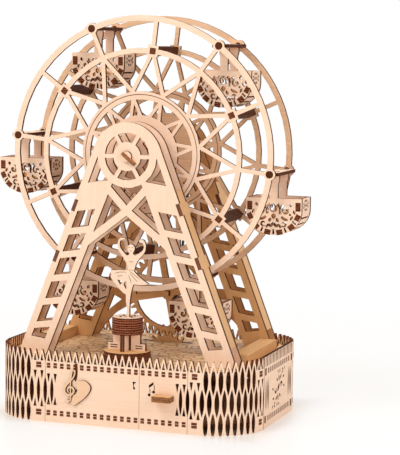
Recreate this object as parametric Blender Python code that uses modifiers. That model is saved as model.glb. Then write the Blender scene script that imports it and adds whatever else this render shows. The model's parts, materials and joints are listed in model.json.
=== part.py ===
"""Laser-cut plywood ferris wheel on a musical base, in metres, +Z up, front towards -Y."""

from math import asin, atan2, cos, hypot, pi, radians, sin, sqrt, tan

import bmesh
import bpy
from mathutils import Matrix, Vector

# Stock and fits
SHEET = 0.003
FIT_GAP = 0.0003
CUT_MARGIN = 0.002
ROUND_STEPS = 12
DISC_STEPS = 28
RIM_STEPS = 72
HULL_STEPS = 10
HEAD_STEPS = 12
CORNER_STEPS = 8
WINDOW_STEPS = 3
WIDE_WINDOW_STEPS = 6
FLAT_ANGLE = 0.5
SHARP_ANGLE = 35.0

# Base walls
BASE_LENGTH = 0.2442
BASE_DEPTH = 0.1710
BASE_HEIGHT = 0.0638
CORNER_RADIUS = 0.0459
FRONT_SEAM_X = 0.0665
DRAWER_SEAM_X = 0.0221
END_SEAM_Y = 0.0437
TOOTH_PITCH = 0.00633
TOOTH_TIP_WIDTH = 0.0010
NOTCH_DEPTH = 0.0100
LENS_LENGTH = 0.0245
LENS_WIDTH = 0.0042
LENS_ROW_HEIGHTS = (0.0460, 0.0277)
LENS_FOOT_TOP = 0.0190
HEART_WIDTH = 0.0238
HEART_X = -0.0353
HEART_HEIGHT = 0.0292
HEART_RELIEF = 0.0015
HEART_LOBE_REACH = 1.08
HEART_LOBE_RISE = 0.6
HEART_LOBE_START = -38.0
HEART_LOBE_END = 165.0

# Floors inside the base
BASE_PLATE_HEIGHT = 0.0067
DECK_HEIGHT = 0.0489
PAVING_THICKNESS = 0.0028

# Wheel
GONDOLA_GROUND_GAP = 0.0056
WHEEL_TURN = 6.5
GONDOLA_COUNT = 6
PIVOT_RADIUS = 0.1200
PIVOT_BOSS_RADIUS = 0.0053
PLUG_RADIUS = 0.0032
OUTER_RING_WIDTH = 0.0050
NODE_RADIUS = 0.0916
NODE_BLOCK = 0.0100
TENON_WIDTH = 0.0050
CROSS_BAR_WIDTH = 0.0080
CROSS_BAR_THICKNESS = 0.0060
INNER_RING_WIDTH = 0.0045
SPOKE_WIDTH = 0.0037
TRUSS_WIDTH = 0.0035
HUB_RING_OUTER = 0.0557
HUB_RING_INNER = 0.0485
HUB_DISC_RADIUS = 0.0346
HUB_STRUT_WIDTH = 0.0030
RIM_FACE_Y = 0.0300
AXLE_RADIUS = 0.0070
AXLE_COLLAR_RADIUS = 0.0090
JOURNAL_RADIUS = 0.0047
WEDGE_LENGTH = 0.0150
WEDGE_TILT = -40.0

# Gondolas, measured from the pivot
BAR_WIDTH = 0.0140
STRAP_WIDTH = 0.0070
STRAP_SHOULDER_WIDTH = 0.0090
GONDOLA_LENGTH = 0.0505
GONDOLA_FACE_Y = 0.0150
GONDOLA_TOP = -0.0215
GONDOLA_SHOULDER = -0.0330
GONDOLA_BOTTOM = -0.0540
BASKET_INSET = 0.0004
SEAT_HEIGHT = -0.0410
SEAT_DEPTH = 0.0100
BACKREST_TOP = -0.0245
ROSETTE_RADIUS = 0.0042
ROSETTE_HEIGHT = -0.0300
SCROLL_REACH = 0.0056
SCROLL_X = 0.0107
SCROLL_RISE = 0.0017
SCROLL_TILT = 60.0
SCROLL_SLIMNESS = 3.0
LEAF_REACH = 0.0067

# A-frames, with drops measured down from the axle and rises up from the paving
FRAME_OUTER_FACE_Y = 0.0630
FRAME_INNER_FACE_Y = 0.0430
LEG_OUTER_TILT = 21.1
LEG_OUTER_REACH = 0.0314
LEG_INNER_TILT = 21.9
LEG_INNER_REACH = 0.0038
HEAD_TOP = 0.0298
HEAD_RING_OUTER = 0.0275
HEAD_RING_INNER = 0.0208
HEAD_DISC_RADIUS = 0.0127
HEAD_SPOKE_WIDTH = 0.0035
WEB_WIDTH = 0.0060
BRACE_CENTRE_DROP = 0.0475
BRACE_ARM_WIDTH = 0.0065
BRACE_UPPER_X = 0.0163
BRACE_UPPER_DROP = 0.0299
BRACE_LOWER_X = 0.0330
BRACE_LOWER_DROP = 0.0729
HEAD_RUNG_DROP = 0.0229
LEG_WINDOW_COUNT = 6
LEG_WINDOW_DROP = 0.0470
LEG_WINDOW_BAR = 0.00615
LEG_WINDOW_SLOPE = 8.3
LEG_LAST_WINDOW_RISE = 0.02535
LEG_FOOT_RISE = 0.0144
RAIL_TAB_DROPS = (0.0439, 0.0897)
RAIL_TAB_LENGTH = 0.0105
RAIL_TAB_DEPTH = 0.0032
RAIL_FOOT_RISE = 0.0167
RAIL_TOP_DROP = 0.0289
FOOT_BEAM_INNER_X = 0.0915
FOOT_BEAM_OUTER_X = 0.1070
FOOT_BEAM_HEIGHT = 0.0092

# Pedestal, turntable and dancer
PEDESTAL_Y = -0.0580
PEDESTAL_RADIUS = 0.0207
PEDESTAL_BASE_HEIGHT = 0.0090
POST_HEIGHT = 0.0143
POST_COUNT = 4
POST_REACH = 0.0120
POST_INNER_REACH = 0.0040
DRUM_RADIUS = 0.0136
DRUM_HEIGHT = 0.0150
TURNTABLE_SHAFT_RADIUS = 0.0030
FRICTION_DISC_RADIUS = 0.0177
# The dancer's outline and gaps are shares of the figure's height
DANCER_HEIGHT = 0.0700
DANCER_OUTLINE = (
    (0.026, 0.000), (0.031, 0.041), (0.030, 0.085), (0.035, 0.191), (0.046, 0.288), (0.064, 0.362),
    (0.082, 0.412), (0.157, 0.410), (0.234, 0.413), (0.281, 0.430), (0.208, 0.474), (0.156, 0.514),
    (0.109, 0.556), (0.089, 0.579), (0.096, 0.613), (0.111, 0.663), (0.131, 0.702), (0.171, 0.753),
    (0.213, 0.798), (0.238, 0.846), (0.243, 0.902), (0.234, 0.946), (0.211, 0.976), (0.181, 0.985),
    (0.152, 0.973), (0.157, 0.955), (0.190, 0.949), (0.210, 0.921), (0.216, 0.885), (0.206, 0.851),
    (0.183, 0.827), (0.145, 0.802), (0.107, 0.780), (0.079, 0.788), (0.073, 0.811), (0.090, 0.840),
    (0.096, 0.878), (0.077, 0.908), (0.043, 0.917), (0.012, 0.903), (-0.003, 0.873), (0.003, 0.835),
    (0.024, 0.804), (0.017, 0.781), (-0.010, 0.773), (-0.043, 0.802), (-0.078, 0.839), (-0.102, 0.876),
    (-0.108, 0.918), (-0.098, 0.954), (-0.070, 0.968), (-0.035, 0.978), (-0.035, 0.992), (-0.088, 0.993),
    (-0.119, 0.970), (-0.132, 0.931), (-0.137, 0.874), (-0.121, 0.832), (-0.093, 0.791), (-0.060, 0.748),
    (-0.030, 0.701), (-0.011, 0.667), (0.001, 0.631), (0.005, 0.594), (-0.041, 0.586), (-0.101, 0.586),
    (-0.162, 0.578), (-0.215, 0.582), (-0.230, 0.553), (-0.220, 0.523), (-0.227, 0.494), (-0.195, 0.442),
    (-0.148, 0.393), (-0.097, 0.333), (-0.056, 0.298), (-0.018, 0.280), (-0.019, 0.204), (-0.004, 0.107),
    (-0.005, 0.033), (0.000, 0.000),
)
DANCER_KNEE_GAP = (
    (-0.138, 0.463), (-0.098, 0.399), (-0.066, 0.423), (-0.076, 0.452),
)
DANCER_SHIN_GAP = (
    (-0.052, 0.405), (-0.017, 0.344), (-0.009, 0.390), (-0.009, 0.443), (-0.033, 0.445),
)

# Drive train
GEAR_MODULE = 0.0020
GEAR_BACKLASH = 0.0005
PRESSURE_ANGLE = 20.0
GEAR_ADDENDUM = 0.95
GEAR_DEDENDUM = 1.25
DRIVE_TEETH = 38
OUTPUT_TEETH = 23
DRIVE_SHAFT_RADIUS = 0.0035
DRIVE_SHAFT_SQUARE = 0.0045
GEAR_FACE_Y = 0.0435
GEAR_RIM_INNER = 0.0320
GEAR_HUB_RADIUS = 0.0065
GEAR_SPOKE_WIDTH = 0.0060
GEAR_SPOKE_COUNT = 4
GEAR_SPOKE_TURN = 11.0
DRIVE_PULLEY_RADIUS = 0.0060
AXLE_PULLEY_RADIUS = 0.0180
PULLEY_WIDTH = 0.0050
PULLEY_Y = 0.0530
BELT_WIDTH = 0.0040
BELT_THICKNESS = 0.0012
BELT_LARGE_STEPS = 18
BELT_SMALL_STEPS = 10
BEARING_BAND_WIDTH = 0.0080
BEARING_BOSS_RADIUS = 0.0075
OUTPUT_SHAFT_RADIUS = 0.0025
OUTPUT_DISC_RADIUS = 0.0080
OUTPUT_DISC_CLEARANCE = 0.0009
FRICTION_CONTACT_RADIUS = 0.0070
HANGER_WIDTH = 0.0160
HANGER_Y = -0.0300

# Music movement, key and drawer
MOVEMENT_WIDTH = 0.0600
MOVEMENT_FRONT_Y = 0.0500
MOVEMENT_DEPTH = 0.0300
MOVEMENT_HEIGHT = 0.0340
MOVEMENT_BEVEL = 0.0010
KEY_HEIGHT = 0.0270
KEY_X = 0.0150
KEY_STEM_RADIUS = 0.0025
KEY_STEM_LENGTH = 0.0146
KEY_GRIP_WIDTH = 0.0240
KEY_GRIP_HEIGHT = 0.0130
TRAY_DEPTH = 0.0700
TRAY_HEIGHT = 0.0340
HANDLE_WIDTH = 0.0200
HANDLE_HEIGHT = 0.0060
HANDLE_REACH = 0.0100
HANDLE_CENTRE_HEIGHT = 0.0300

# Colours of the plywood, the burnt edges and the small fittings
LOOKS = {
    "birch_ply": ((0.86, 0.66, 0.46), 0.62, 0.0),
    "tan_ply": ((0.72, 0.50, 0.30), 0.66, 0.0),
    "burnt_ply": ((0.22, 0.10, 0.05), 0.75, 0.0),
    "movement_brass": ((0.72, 0.56, 0.28), 0.35, 1.0),
    "belt_rubber": ((0.05, 0.05, 0.05), 0.80, 0.0),
}

# Sizes that follow from the ones above
HALF_LENGTH = BASE_LENGTH / 2
HALF_DEPTH = BASE_DEPTH / 2
INNER_LENGTH = HALF_LENGTH - SHEET
INNER_DEPTH = HALF_DEPTH - SHEET
BASE_PLATE_TOP = BASE_PLATE_HEIGHT + SHEET
DECK_TOP = DECK_HEIGHT + SHEET
PAVING_HEIGHT = DECK_TOP + FIT_GAP
FLOOR = PAVING_HEIGHT + PAVING_THICKNESS
STANDING = FLOOR + FIT_GAP
AXLE_HEIGHT = STANDING + GONDOLA_GROUND_GAP + PIVOT_RADIUS - GONDOLA_BOTTOM
RIM_INNER_Y = RIM_FACE_Y - SHEET
OUTER_RING_OUTER = PIVOT_RADIUS + OUTER_RING_WIDTH / 2
OUTER_RING_INNER = PIVOT_RADIUS - OUTER_RING_WIDTH / 2
INNER_RING_OUTER = NODE_RADIUS + INNER_RING_WIDTH / 2
INNER_RING_INNER = NODE_RADIUS - INNER_RING_WIDTH / 2
SPOKE_COUNT = 2 * GONDOLA_COUNT
SPOKE_STEP = 2 * pi / SPOKE_COUNT
FIRST_PIVOT = -radians(WHEEL_TURN)
FIRST_NODE = FIRST_PIVOT + SPOKE_STEP
FRAME_MID_OUTER_Y = FRAME_OUTER_FACE_Y - SHEET / 2
FRAME_MID_INNER_Y = FRAME_INNER_FACE_Y + SHEET / 2
BRACE_CENTRE = (0.0, AXLE_HEIGHT - BRACE_CENTRE_DROP)
BRACE_UPPER = (BRACE_UPPER_X, AXLE_HEIGHT - BRACE_UPPER_DROP)
BRACE_LOWER = (BRACE_LOWER_X, AXLE_HEIGHT - BRACE_LOWER_DROP)
LEG_WINDOW_TOP = AXLE_HEIGHT - LEG_WINDOW_DROP
LEG_WINDOW_PITCH = (LEG_WINDOW_TOP - STANDING - LEG_LAST_WINDOW_RISE) / (LEG_WINDOW_COUNT - 1)
PEDESTAL_TOP = STANDING + PEDESTAL_BASE_HEIGHT + POST_HEIGHT
DRUM_BOTTOM = PEDESTAL_TOP + FIT_GAP
DRUM_TOP = DRUM_BOTTOM + DRUM_HEIGHT
DRIVE_PITCH_RADIUS = DRIVE_TEETH * GEAR_MODULE / 2
OUTPUT_PITCH_RADIUS = OUTPUT_TEETH * GEAR_MODULE / 2
OUTPUT_SHAFT_HEIGHT = DECK_HEIGHT - OUTPUT_DISC_CLEARANCE - OUTPUT_DISC_RADIUS
DRIVE_SHAFT_HEIGHT = OUTPUT_SHAFT_HEIGHT + OUTPUT_PITCH_RADIUS + DRIVE_PITCH_RADIUS
FRICTION_CONTACT_HEIGHT = OUTPUT_SHAFT_HEIGHT - FRICTION_CONTACT_RADIUS
OUTPUT_DISC_FACE_Y = PEDESTAL_Y + FRICTION_DISC_RADIUS + FIT_GAP
TRAY_FLOOR = BASE_PLATE_TOP + FIT_GAP

UPRIGHT = Matrix(((1, 0, 0, 0), (0, 0, -1, 0), (0, 1, 0, 0), (0, 0, 0, 1)))
PARTS = bpy.data.collections.new("ferris_wheel_model")
CUTTERS = bpy.data.collections.new("cutters")


# Plane geometry for the cut outlines

def polar(radius, angle):
    """Point at this radius and angle from the centre."""
    return (radius * cos(angle), radius * sin(angle))


def arc(radius, start, end, steps, centre=(0.0, 0.0)):
    """Points along an arc, both ends included."""
    points = []
    for index in range(steps + 1):
        x, z = polar(radius, start + (end - start) * index / steps)
        points.append((centre[0] + x, centre[1] + z))
    return points


def circle(radius, steps, centre=(0.0, 0.0)):
    """Closed outline of a circle."""
    return arc(radius, 0.0, 2 * pi, steps, centre)[:-1]


def rectangle(x0, x1, z0, z1):
    """Closed outline of an upright rectangle."""
    return [(x0, z0), (x1, z0), (x1, z1), (x0, z1)]


def strip_edge(start, end, offset):
    """Line from start towards end, moved to its left by the offset, as a point and a unit direction."""
    along = (Vector(end) - Vector(start)).normalized()
    left = Vector((-along.y, along.x))
    return Vector(start) + left * offset, along


def meet_lines(first, second):
    """Point where two lines cross."""
    (p, d), (q, e) = first, second
    cross = d.x * e.y - d.y * e.x
    reach = ((q.x - p.x) * e.y - (q.y - p.y) * e.x) / cross
    return tuple(p + d * reach)


def meet_circle(line, radius):
    """Point where a line leaves the circle of this radius round the centre."""
    point, along = line
    middle = point.dot(along)
    reach = -middle + sqrt(max(middle * middle - point.length_squared + radius * radius, 0.0))
    return tuple(point + along * reach)


def arc_between(start, end, steps):
    """Arc round the centre from one point to another on the same circle, the short way."""
    radius = hypot(*start)
    first = atan2(start[1], start[0])
    sweep = (atan2(end[1], end[0]) - first + pi) % (2 * pi) - pi
    return arc(radius, first, first + sweep, steps)


def sector_window(edge_a, edge_b, inner_radius, outer_radius, steps):
    """Window between two strips and two circles."""
    inner = arc_between(meet_circle(edge_a, inner_radius), meet_circle(edge_b, inner_radius), steps)
    outer = arc_between(meet_circle(edge_b, outer_radius), meet_circle(edge_a, outer_radius), steps)
    return inner + outer


def pointed_window(edge_a, edge_b, radius, steps):
    """Window between two strips that meet in a point and one circle."""
    base = arc_between(meet_circle(edge_a, radius), meet_circle(edge_b, radius), steps)
    return base + [meet_lines(edge_a, edge_b)]


def moved(points, shift):
    """The same outline somewhere else."""
    return [(x + shift[0], z + shift[1]) for x, z in points]


def mirrored(points):
    """The same outline on the other side of the middle."""
    return [(-x, z) for x, z in reversed(points)]


# Objects

def add_object(name, mesh):
    """New mesh object in the collection of parts."""
    item = bpy.data.objects.new(name, mesh)
    PARTS.objects.link(item)
    return item


def cut_sheet(name, outline, holes, thickness):
    """Flat sheet cut to an outline with holes, lying in the XY plane with its middle at Z = 0."""
    curve = bpy.data.curves.new(name + "_outline", "CURVE")
    curve.dimensions = "2D"
    curve.fill_mode = "BOTH"
    curve.extrude = thickness / 2
    for loop in [outline] + holes:
        spline = curve.splines.new("POLY")
        spline.points.add(len(loop) - 1)
        for point, (x, y) in zip(spline.points, loop):
            point.co = (x, y, 0.0, 1.0)
        spline.use_cyclic_u = True
    drawn = bpy.data.objects.new(name + "_drawn", curve)
    PARTS.objects.link(drawn)
    bpy.context.view_layer.update()
    mesh = bpy.data.meshes.new_from_object(drawn.evaluated_get(bpy.context.evaluated_depsgraph_get()))
    bpy.data.objects.remove(drawn)
    bpy.data.curves.remove(curve)
    return add_object(name, welded(mesh, name))


def welded(mesh, name):
    """The mesh with its seams closed and its faces turned outwards."""
    work = bmesh.new()
    work.from_mesh(mesh)
    bmesh.ops.remove_doubles(work, verts=work.verts, dist=1e-6)
    bmesh.ops.recalc_face_normals(work, faces=work.faces)
    work.to_mesh(mesh)
    work.free()
    mesh.name = name
    return mesh


def move_mesh(item, matrix):
    """Moves the mesh inside its object, so that the object itself stays unturned."""
    item.data.transform(matrix)
    item.data.update()
    return item


def upright_sheet(name, outline, holes, middle_y, thickness=SHEET):
    """Sheet standing in the XZ plane with its middle at this Y."""
    item = cut_sheet(name, outline, holes, thickness)
    return move_mesh(item, Matrix.Translation((0.0, middle_y, 0.0)) @ UPRIGHT)


def level_sheet(name, outline, holes, bottom, thickness=SHEET):
    """Sheet lying flat with its underside at this height."""
    item = cut_sheet(name, outline, holes, thickness)
    return move_mesh(item, Matrix.Translation((0.0, 0.0, bottom + thickness / 2)))


def box(name, x_range, y_range, z_range):
    """Plain block between these limits."""
    work = bmesh.new()
    bmesh.ops.create_cube(work, size=1.0)
    size = Vector((x_range[1] - x_range[0], y_range[1] - y_range[0], z_range[1] - z_range[0]))
    middle = Vector((sum(x_range), sum(y_range), sum(z_range))) / 2
    place = Matrix.Translation(middle) @ Matrix.Diagonal(size.to_4d())
    bmesh.ops.transform(work, matrix=place, verts=work.verts)
    mesh = bpy.data.meshes.new(name)
    work.to_mesh(mesh)
    work.free()
    return add_object(name, mesh)


def rod(name, radius, start, end, steps=ROUND_STEPS):
    """Round rod between two points."""
    along = Vector(end) - Vector(start)
    work = bmesh.new()
    bmesh.ops.create_cone(
        work, cap_ends=True, segments=steps, radius1=radius, radius2=radius, depth=along.length
    )
    turn = along.to_track_quat("Z", "Y").to_matrix().to_4x4()
    middle = (Vector(start) + Vector(end)) / 2
    bmesh.ops.transform(work, matrix=Matrix.Translation(middle) @ turn, verts=work.verts)
    mesh = bpy.data.meshes.new(name)
    work.to_mesh(mesh)
    work.free()
    return add_object(name, mesh)


def turned(name, profile, steps=ROUND_STEPS):
    """Piece turned round the Z axis from a profile of radius and height, listed from top to bottom."""
    mesh = bpy.data.meshes.new(name)
    mesh.from_pydata([(radius, 0.0, height) for radius, height in profile],
                     [(index, index + 1) for index in range(len(profile) - 1)], [])
    item = add_object(name, mesh)
    screw = item.modifiers.new("turning", "SCREW")
    screw.steps = steps
    screw.render_steps = steps
    screw.use_merge_vertices = True
    screw.merge_threshold = 1e-6
    bpy.context.view_layer.update()
    solid = bpy.data.meshes.new_from_object(item.evaluated_get(bpy.context.evaluated_depsgraph_get()))
    item.modifiers.clear()
    item.data = welded(solid, name)
    return item


def laid_along_y(item, height, x=0.0):
    """Lays a turned piece along Y: what was up now points to the rear."""
    return move_mesh(item, Matrix.Translation((x, 0.0, height)) @ Matrix.Rotation(-pi / 2, 4, "X"))


def combine(item, tool, operation):
    """Boolean with another object, which moves to the cutters."""
    PARTS.objects.unlink(tool)
    CUTTERS.objects.link(tool)
    tool.hide_render = True
    tool.display_type = "WIRE"
    boolean = item.modifiers.new(operation.lower(), "BOOLEAN")
    boolean.operation = operation
    boolean.solver = "EXACT"
    boolean.object = tool
    return item


def cut(item, tool):
    """Cuts the tool out of the item."""
    return combine(item, tool, "DIFFERENCE")


def fuse(item, tool):
    """Joins the tool to the item."""
    return combine(item, tool, "UNION")


def merge_flat_faces(item):
    """Merges the flat faces that a row of Booleans leaves in pieces."""
    merge = item.modifiers.new("merge_flat_faces", "DECIMATE")
    merge.decimate_type = "DISSOLVE"
    merge.angle_limit = radians(FLAT_ANGLE)


def round_shading(item):
    """Smooth shading with the hard edges kept sharp."""
    item.data.shade_smooth()
    item.data.set_sharp_from_angle(angle=radians(SHARP_ANGLE))
    return item


def look(items, name):
    """Gives each of the items its own material of this kind."""
    colour, roughness, metallic = LOOKS[name]
    for item in items:
        paint = bpy.data.materials.new(name)
        paint.use_nodes = True
        shader = paint.node_tree.nodes["Principled BSDF"]
        shader.inputs["Base Color"].default_value = (*colour, 1.0)
        shader.inputs["Roughness"].default_value = roughness
        shader.inputs["Metallic"].default_value = metallic
        item.data.materials.clear()
        item.data.materials.append(paint)


def joint_empty(name, location, items):
    """Empty on a joint axis that carries the items turning about it."""
    empty = bpy.data.objects.new(name, None)
    empty.empty_display_size = CUT_MARGIN
    empty.location = location
    PARTS.objects.link(empty)
    bpy.context.view_layer.update()
    for item in items:
        item.parent = empty
        item.matrix_parent_inverse = empty.matrix_world.inverted()
    return empty


# Base walls and floors

def toothed_top(x0, x1):
    """Top edge of a wall from right to left, with pointed teeth and V notches between them."""
    count = round((x1 - x0) / TOOTH_PITCH)
    pitch = (x1 - x0) / count
    points = []
    for index in reversed(range(count)):
        tip = x0 + (index + 0.5) * pitch
        points.append((tip + TOOTH_TIP_WIDTH / 2, BASE_HEIGHT))
        points.append((tip - TOOTH_TIP_WIDTH / 2, BASE_HEIGHT))
        if index:
            points.append((tip - pitch / 2, BASE_HEIGHT - NOTCH_DEPTH))
    return points


def wall_outline(x0, x1):
    """Outline of a flat wall that ends halfway down a notch on each side."""
    left = x0 + FIT_GAP / 2
    right = x1 - FIT_GAP / 2
    notch = BASE_HEIGHT - NOTCH_DEPTH
    return [(left, 0.0), (right, 0.0), (right, notch)] + toothed_top(x0, x1) + [(left, notch)]


def heart_outline():
    """Heart with its tip down, two round lobes and straight lower sides."""
    lobe = HEART_WIDTH / 4
    reach = HEART_LOBE_REACH * lobe
    tip = (0.0, -2.0 * lobe)
    start = radians(HEART_LOBE_START)
    end = radians(HEART_LOBE_END)
    right = arc(reach, start, end, CORNER_STEPS, (lobe, lobe * HEART_LOBE_RISE))
    left = [(-x, z) for x, z in reversed(right)]
    return moved([tip] + right[:-1] + [(0.0, lobe)] + left[1:], (HEART_X, HEART_HEIGHT))


def front_and_rear_walls():
    """Front panel with its heart, rear panel with the key hole, drawer front."""
    wall_y = HALF_DEPTH - SHEET / 2
    front = upright_sheet("front_panel", wall_outline(-FRONT_SEAM_X, DRAWER_SEAM_X), [], -wall_y)
    heart_y = -HALF_DEPTH - HEART_RELIEF / 2 + CUT_MARGIN / 4
    fuse(front, upright_sheet("heart", heart_outline(), [], heart_y, HEART_RELIEF + CUT_MARGIN / 2))
    rear = upright_sheet("rear_panel", wall_outline(-FRONT_SEAM_X, FRONT_SEAM_X), [], wall_y)
    hole_radius = KEY_STEM_RADIUS + FIT_GAP
    inside = (KEY_X, wall_y - SHEET, KEY_HEIGHT)
    outside = (KEY_X, wall_y + SHEET, KEY_HEIGHT)
    cut(rear, rod("key_hole", hole_radius, inside, outside))
    return front, rear


def end_panel(name, side):
    """Flat toothed wall closing one end of the base."""
    panel = upright_sheet(name, wall_outline(-END_SEAM_Y, END_SEAM_Y), [], 0.0)
    turn = Matrix.Translation((side * (HALF_LENGTH - SHEET / 2), 0.0, 0.0)) @ Matrix.Rotation(pi / 2, 4, "Z")
    return move_mesh(panel, turn)


def lens(centre, bottom, top):
    """Slot pointed at both ends."""
    half = LENS_WIDTH / 2
    middle = (bottom + top) / 2
    return [(centre, bottom), (centre + half, middle), (centre, top), (centre - half, middle)]


def corner_length():
    """Length of the outer face of a corner sheet, from its front or rear seam to its end seam."""
    flat = HALF_LENGTH - CORNER_RADIUS - FRONT_SEAM_X
    start = asin((END_SEAM_Y - (HALF_DEPTH - CORNER_RADIUS)) / CORNER_RADIUS)
    return flat, CORNER_RADIUS * (pi / 2 - start)


def bend_corner(item, flat):
    """Bends a flat sheet drawn along X round the base corner; X is the way along the outer face."""
    centre = Vector((HALF_LENGTH - CORNER_RADIUS, HALF_DEPTH - CORNER_RADIUS))
    for vertex in item.data.vertices:
        along, depth, height = vertex.co
        if along <= flat:
            vertex.co = (FRONT_SEAM_X + along, HALF_DEPTH - depth, height)
        else:
            angle = pi / 2 - (along - flat) / CORNER_RADIUS
            x, y = polar(CORNER_RADIUS - depth, angle)
            vertex.co = (centre.x + x, centre.y + y, height)
    item.data.update()


def corner_wall(name, side_x, side_y):
    """Sheet with a lattice of slots that lets it bend round one corner of the base."""
    flat, bent = corner_length()
    length = flat + bent
    count = round(length / TOOTH_PITCH)
    pitch = length / count
    outline = wall_outline(0.0, length)
    holes = []
    for row, height in enumerate(LENS_ROW_HEIGHTS):
        for index in range(count - row):
            centre = (index + 0.5 * (1 + row)) * pitch
            holes.append(lens(centre, height - LENS_LENGTH / 2, height + LENS_LENGTH / 2))
    foot = []
    for index in range(count):
        centre = (index + 0.5) * pitch
        foot += [(centre - LENS_WIDTH / 2, 0.0), (centre, LENS_FOOT_TOP), (centre + LENS_WIDTH / 2, 0.0)]
    outline = outline[:1] + foot + outline[1:]
    sheet = cut_sheet(name, outline, holes, SHEET)
    move_mesh(sheet, Matrix.Translation((0.0, SHEET / 2, 0.0)) @ Matrix.Rotation(pi / 2, 4, "X"))
    work = bmesh.new()
    work.from_mesh(sheet.data)
    bmesh.ops.dissolve_limit(work, angle_limit=radians(FLAT_ANGLE), verts=work.verts, edges=work.edges)
    for index in range(1, 2 * count):
        everything = work.verts[:] + work.edges[:] + work.faces[:]
        bmesh.ops.bisect_plane(
            work, geom=everything, dist=1e-6, plane_co=(index * pitch / 2, 0.0, 0.0), plane_no=(1.0, 0.0, 0.0)
        )
    bmesh.ops.triangulate(work, faces=work.faces)
    work.to_mesh(sheet.data)
    work.free()
    bend_corner(sheet, flat)
    move_mesh(sheet, Matrix.Diagonal((side_x, side_y, 1.0, 1.0)))
    welded(sheet.data, name)
    return sheet


def rounded_floor():
    """Outline of a floor that fits inside the walls."""
    radius = CORNER_RADIUS - SHEET - FIT_GAP
    x = INNER_LENGTH - FIT_GAP - radius
    y = INNER_DEPTH - FIT_GAP - radius
    points = []
    for quarter, centre in enumerate(((x, y), (-x, y), (-x, -y), (x, -y))):
        points += arc(radius, quarter * pi / 2, (quarter + 1) * pi / 2, CORNER_STEPS, centre)
    return points


def floors():
    """Base plate, deck with the shaft hanger and the paving on top of it."""
    base = level_sheet("base_plate", rounded_floor(), [], BASE_PLATE_HEIGHT)
    gear_slot_half = sqrt(
        (OUTPUT_PITCH_RADIUS + GEAR_MODULE) ** 2 - (DECK_HEIGHT - OUTPUT_SHAFT_HEIGHT) ** 2
    ) + CUT_MARGIN / 2
    gear_slot = rectangle(
        -gear_slot_half, gear_slot_half, GEAR_FACE_Y - CUT_MARGIN / 2, GEAR_FACE_Y + SHEET + CUT_MARGIN / 2
    )
    shaft_hole = circle(TURNTABLE_SHAFT_RADIUS + FIT_GAP, ROUND_STEPS, (0.0, PEDESTAL_Y))
    deck = level_sheet("deck_plate", rounded_floor(), [gear_slot, shaft_hole], DECK_HEIGHT)
    hanger_bottom = OUTPUT_SHAFT_HEIGHT - OUTPUT_DISC_RADIUS
    hanger = upright_sheet(
        "shaft_hanger",
        rectangle(-HANGER_WIDTH / 2, HANGER_WIDTH / 2, hanger_bottom, DECK_HEIGHT + SHEET / 2),
        [circle(OUTPUT_SHAFT_RADIUS + FIT_GAP, ROUND_STEPS, (0.0, OUTPUT_SHAFT_HEIGHT))],
        HANGER_Y,
    )
    fuse(deck, hanger)
    paving = level_sheet(
        "paving_plate", rounded_floor(), [gear_slot, shaft_hole], PAVING_HEIGHT, PAVING_THICKNESS
    )
    return base, deck, paving


# A-frames

def leg_edge(tilt, reach, shift=0.0):
    """Edge line of the right leg, pointing down, moved outwards by the shift."""
    angle = radians(tilt)
    normal = Vector((cos(angle), sin(angle)))
    start = Vector((0.0, AXLE_HEIGHT)) + normal * (reach + shift)
    return start, Vector((sin(angle), -cos(angle)))


def at_height(line, height):
    """Point of a line at this height."""
    point, along = line
    return tuple(point + along * ((height - point.y) / along.y))


def head_arc_centre():
    """Centre and radius of the head outline: it touches both legs and reaches the head top."""
    drop = (LEG_OUTER_REACH - HEAD_TOP) / (1 - sin(radians(LEG_OUTER_TILT)))
    return AXLE_HEIGHT - drop, HEAD_TOP + drop


def frame_outline():
    """Outline of an A-frame plate, with notches for the rail tabs and the brace as its inner top."""
    outer = leg_edge(LEG_OUTER_TILT, LEG_OUTER_REACH)
    inner = leg_edge(LEG_INNER_TILT, LEG_INNER_REACH)
    notch_floor = leg_edge(LEG_OUTER_TILT, LEG_OUTER_REACH, -RAIL_TAB_DEPTH - FIT_GAP)
    centre_height, radius = head_arc_centre()
    tilt = radians(LEG_OUTER_TILT)
    right = arc(radius, pi / 2, tilt, HEAD_STEPS, (0.0, centre_height))[1:]
    half_notch = RAIL_TAB_LENGTH / 2 + FIT_GAP
    for drop in RAIL_TAB_DROPS:
        middle = Vector(at_height(outer, AXLE_HEIGHT - drop))
        for end in (-half_notch, half_notch):
            corner = middle + outer[1] * end
            deep = corner - Vector((cos(tilt), sin(tilt))) * (RAIL_TAB_DEPTH + FIT_GAP)
            right += [tuple(corner), tuple(deep)] if end < 0 else [tuple(deep), tuple(corner)]
    right.append(at_height(outer, STANDING))
    right.append(at_height(inner, STANDING))
    under_arm = brace_edge(False, -BRACE_ARM_WIDTH / 2)
    right.append(meet_lines(inner, under_arm))
    bottom = (0.0, at_x(under_arm, 0.0))
    top = (0.0, centre_height + radius)
    return [top] + right + [bottom] + [(-x, z) for x, z in reversed(right)]


def brace_edge(upper, offset):
    """Edge line of the right upper or lower arm of the brace, from its crossing outwards."""
    return strip_edge(BRACE_CENTRE, BRACE_UPPER if upper else BRACE_LOWER, offset)


def at_x(line, x):
    """Height of a line at this X."""
    point, along = line
    return point.y + along.y * (x - point.x) / along.x


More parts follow.
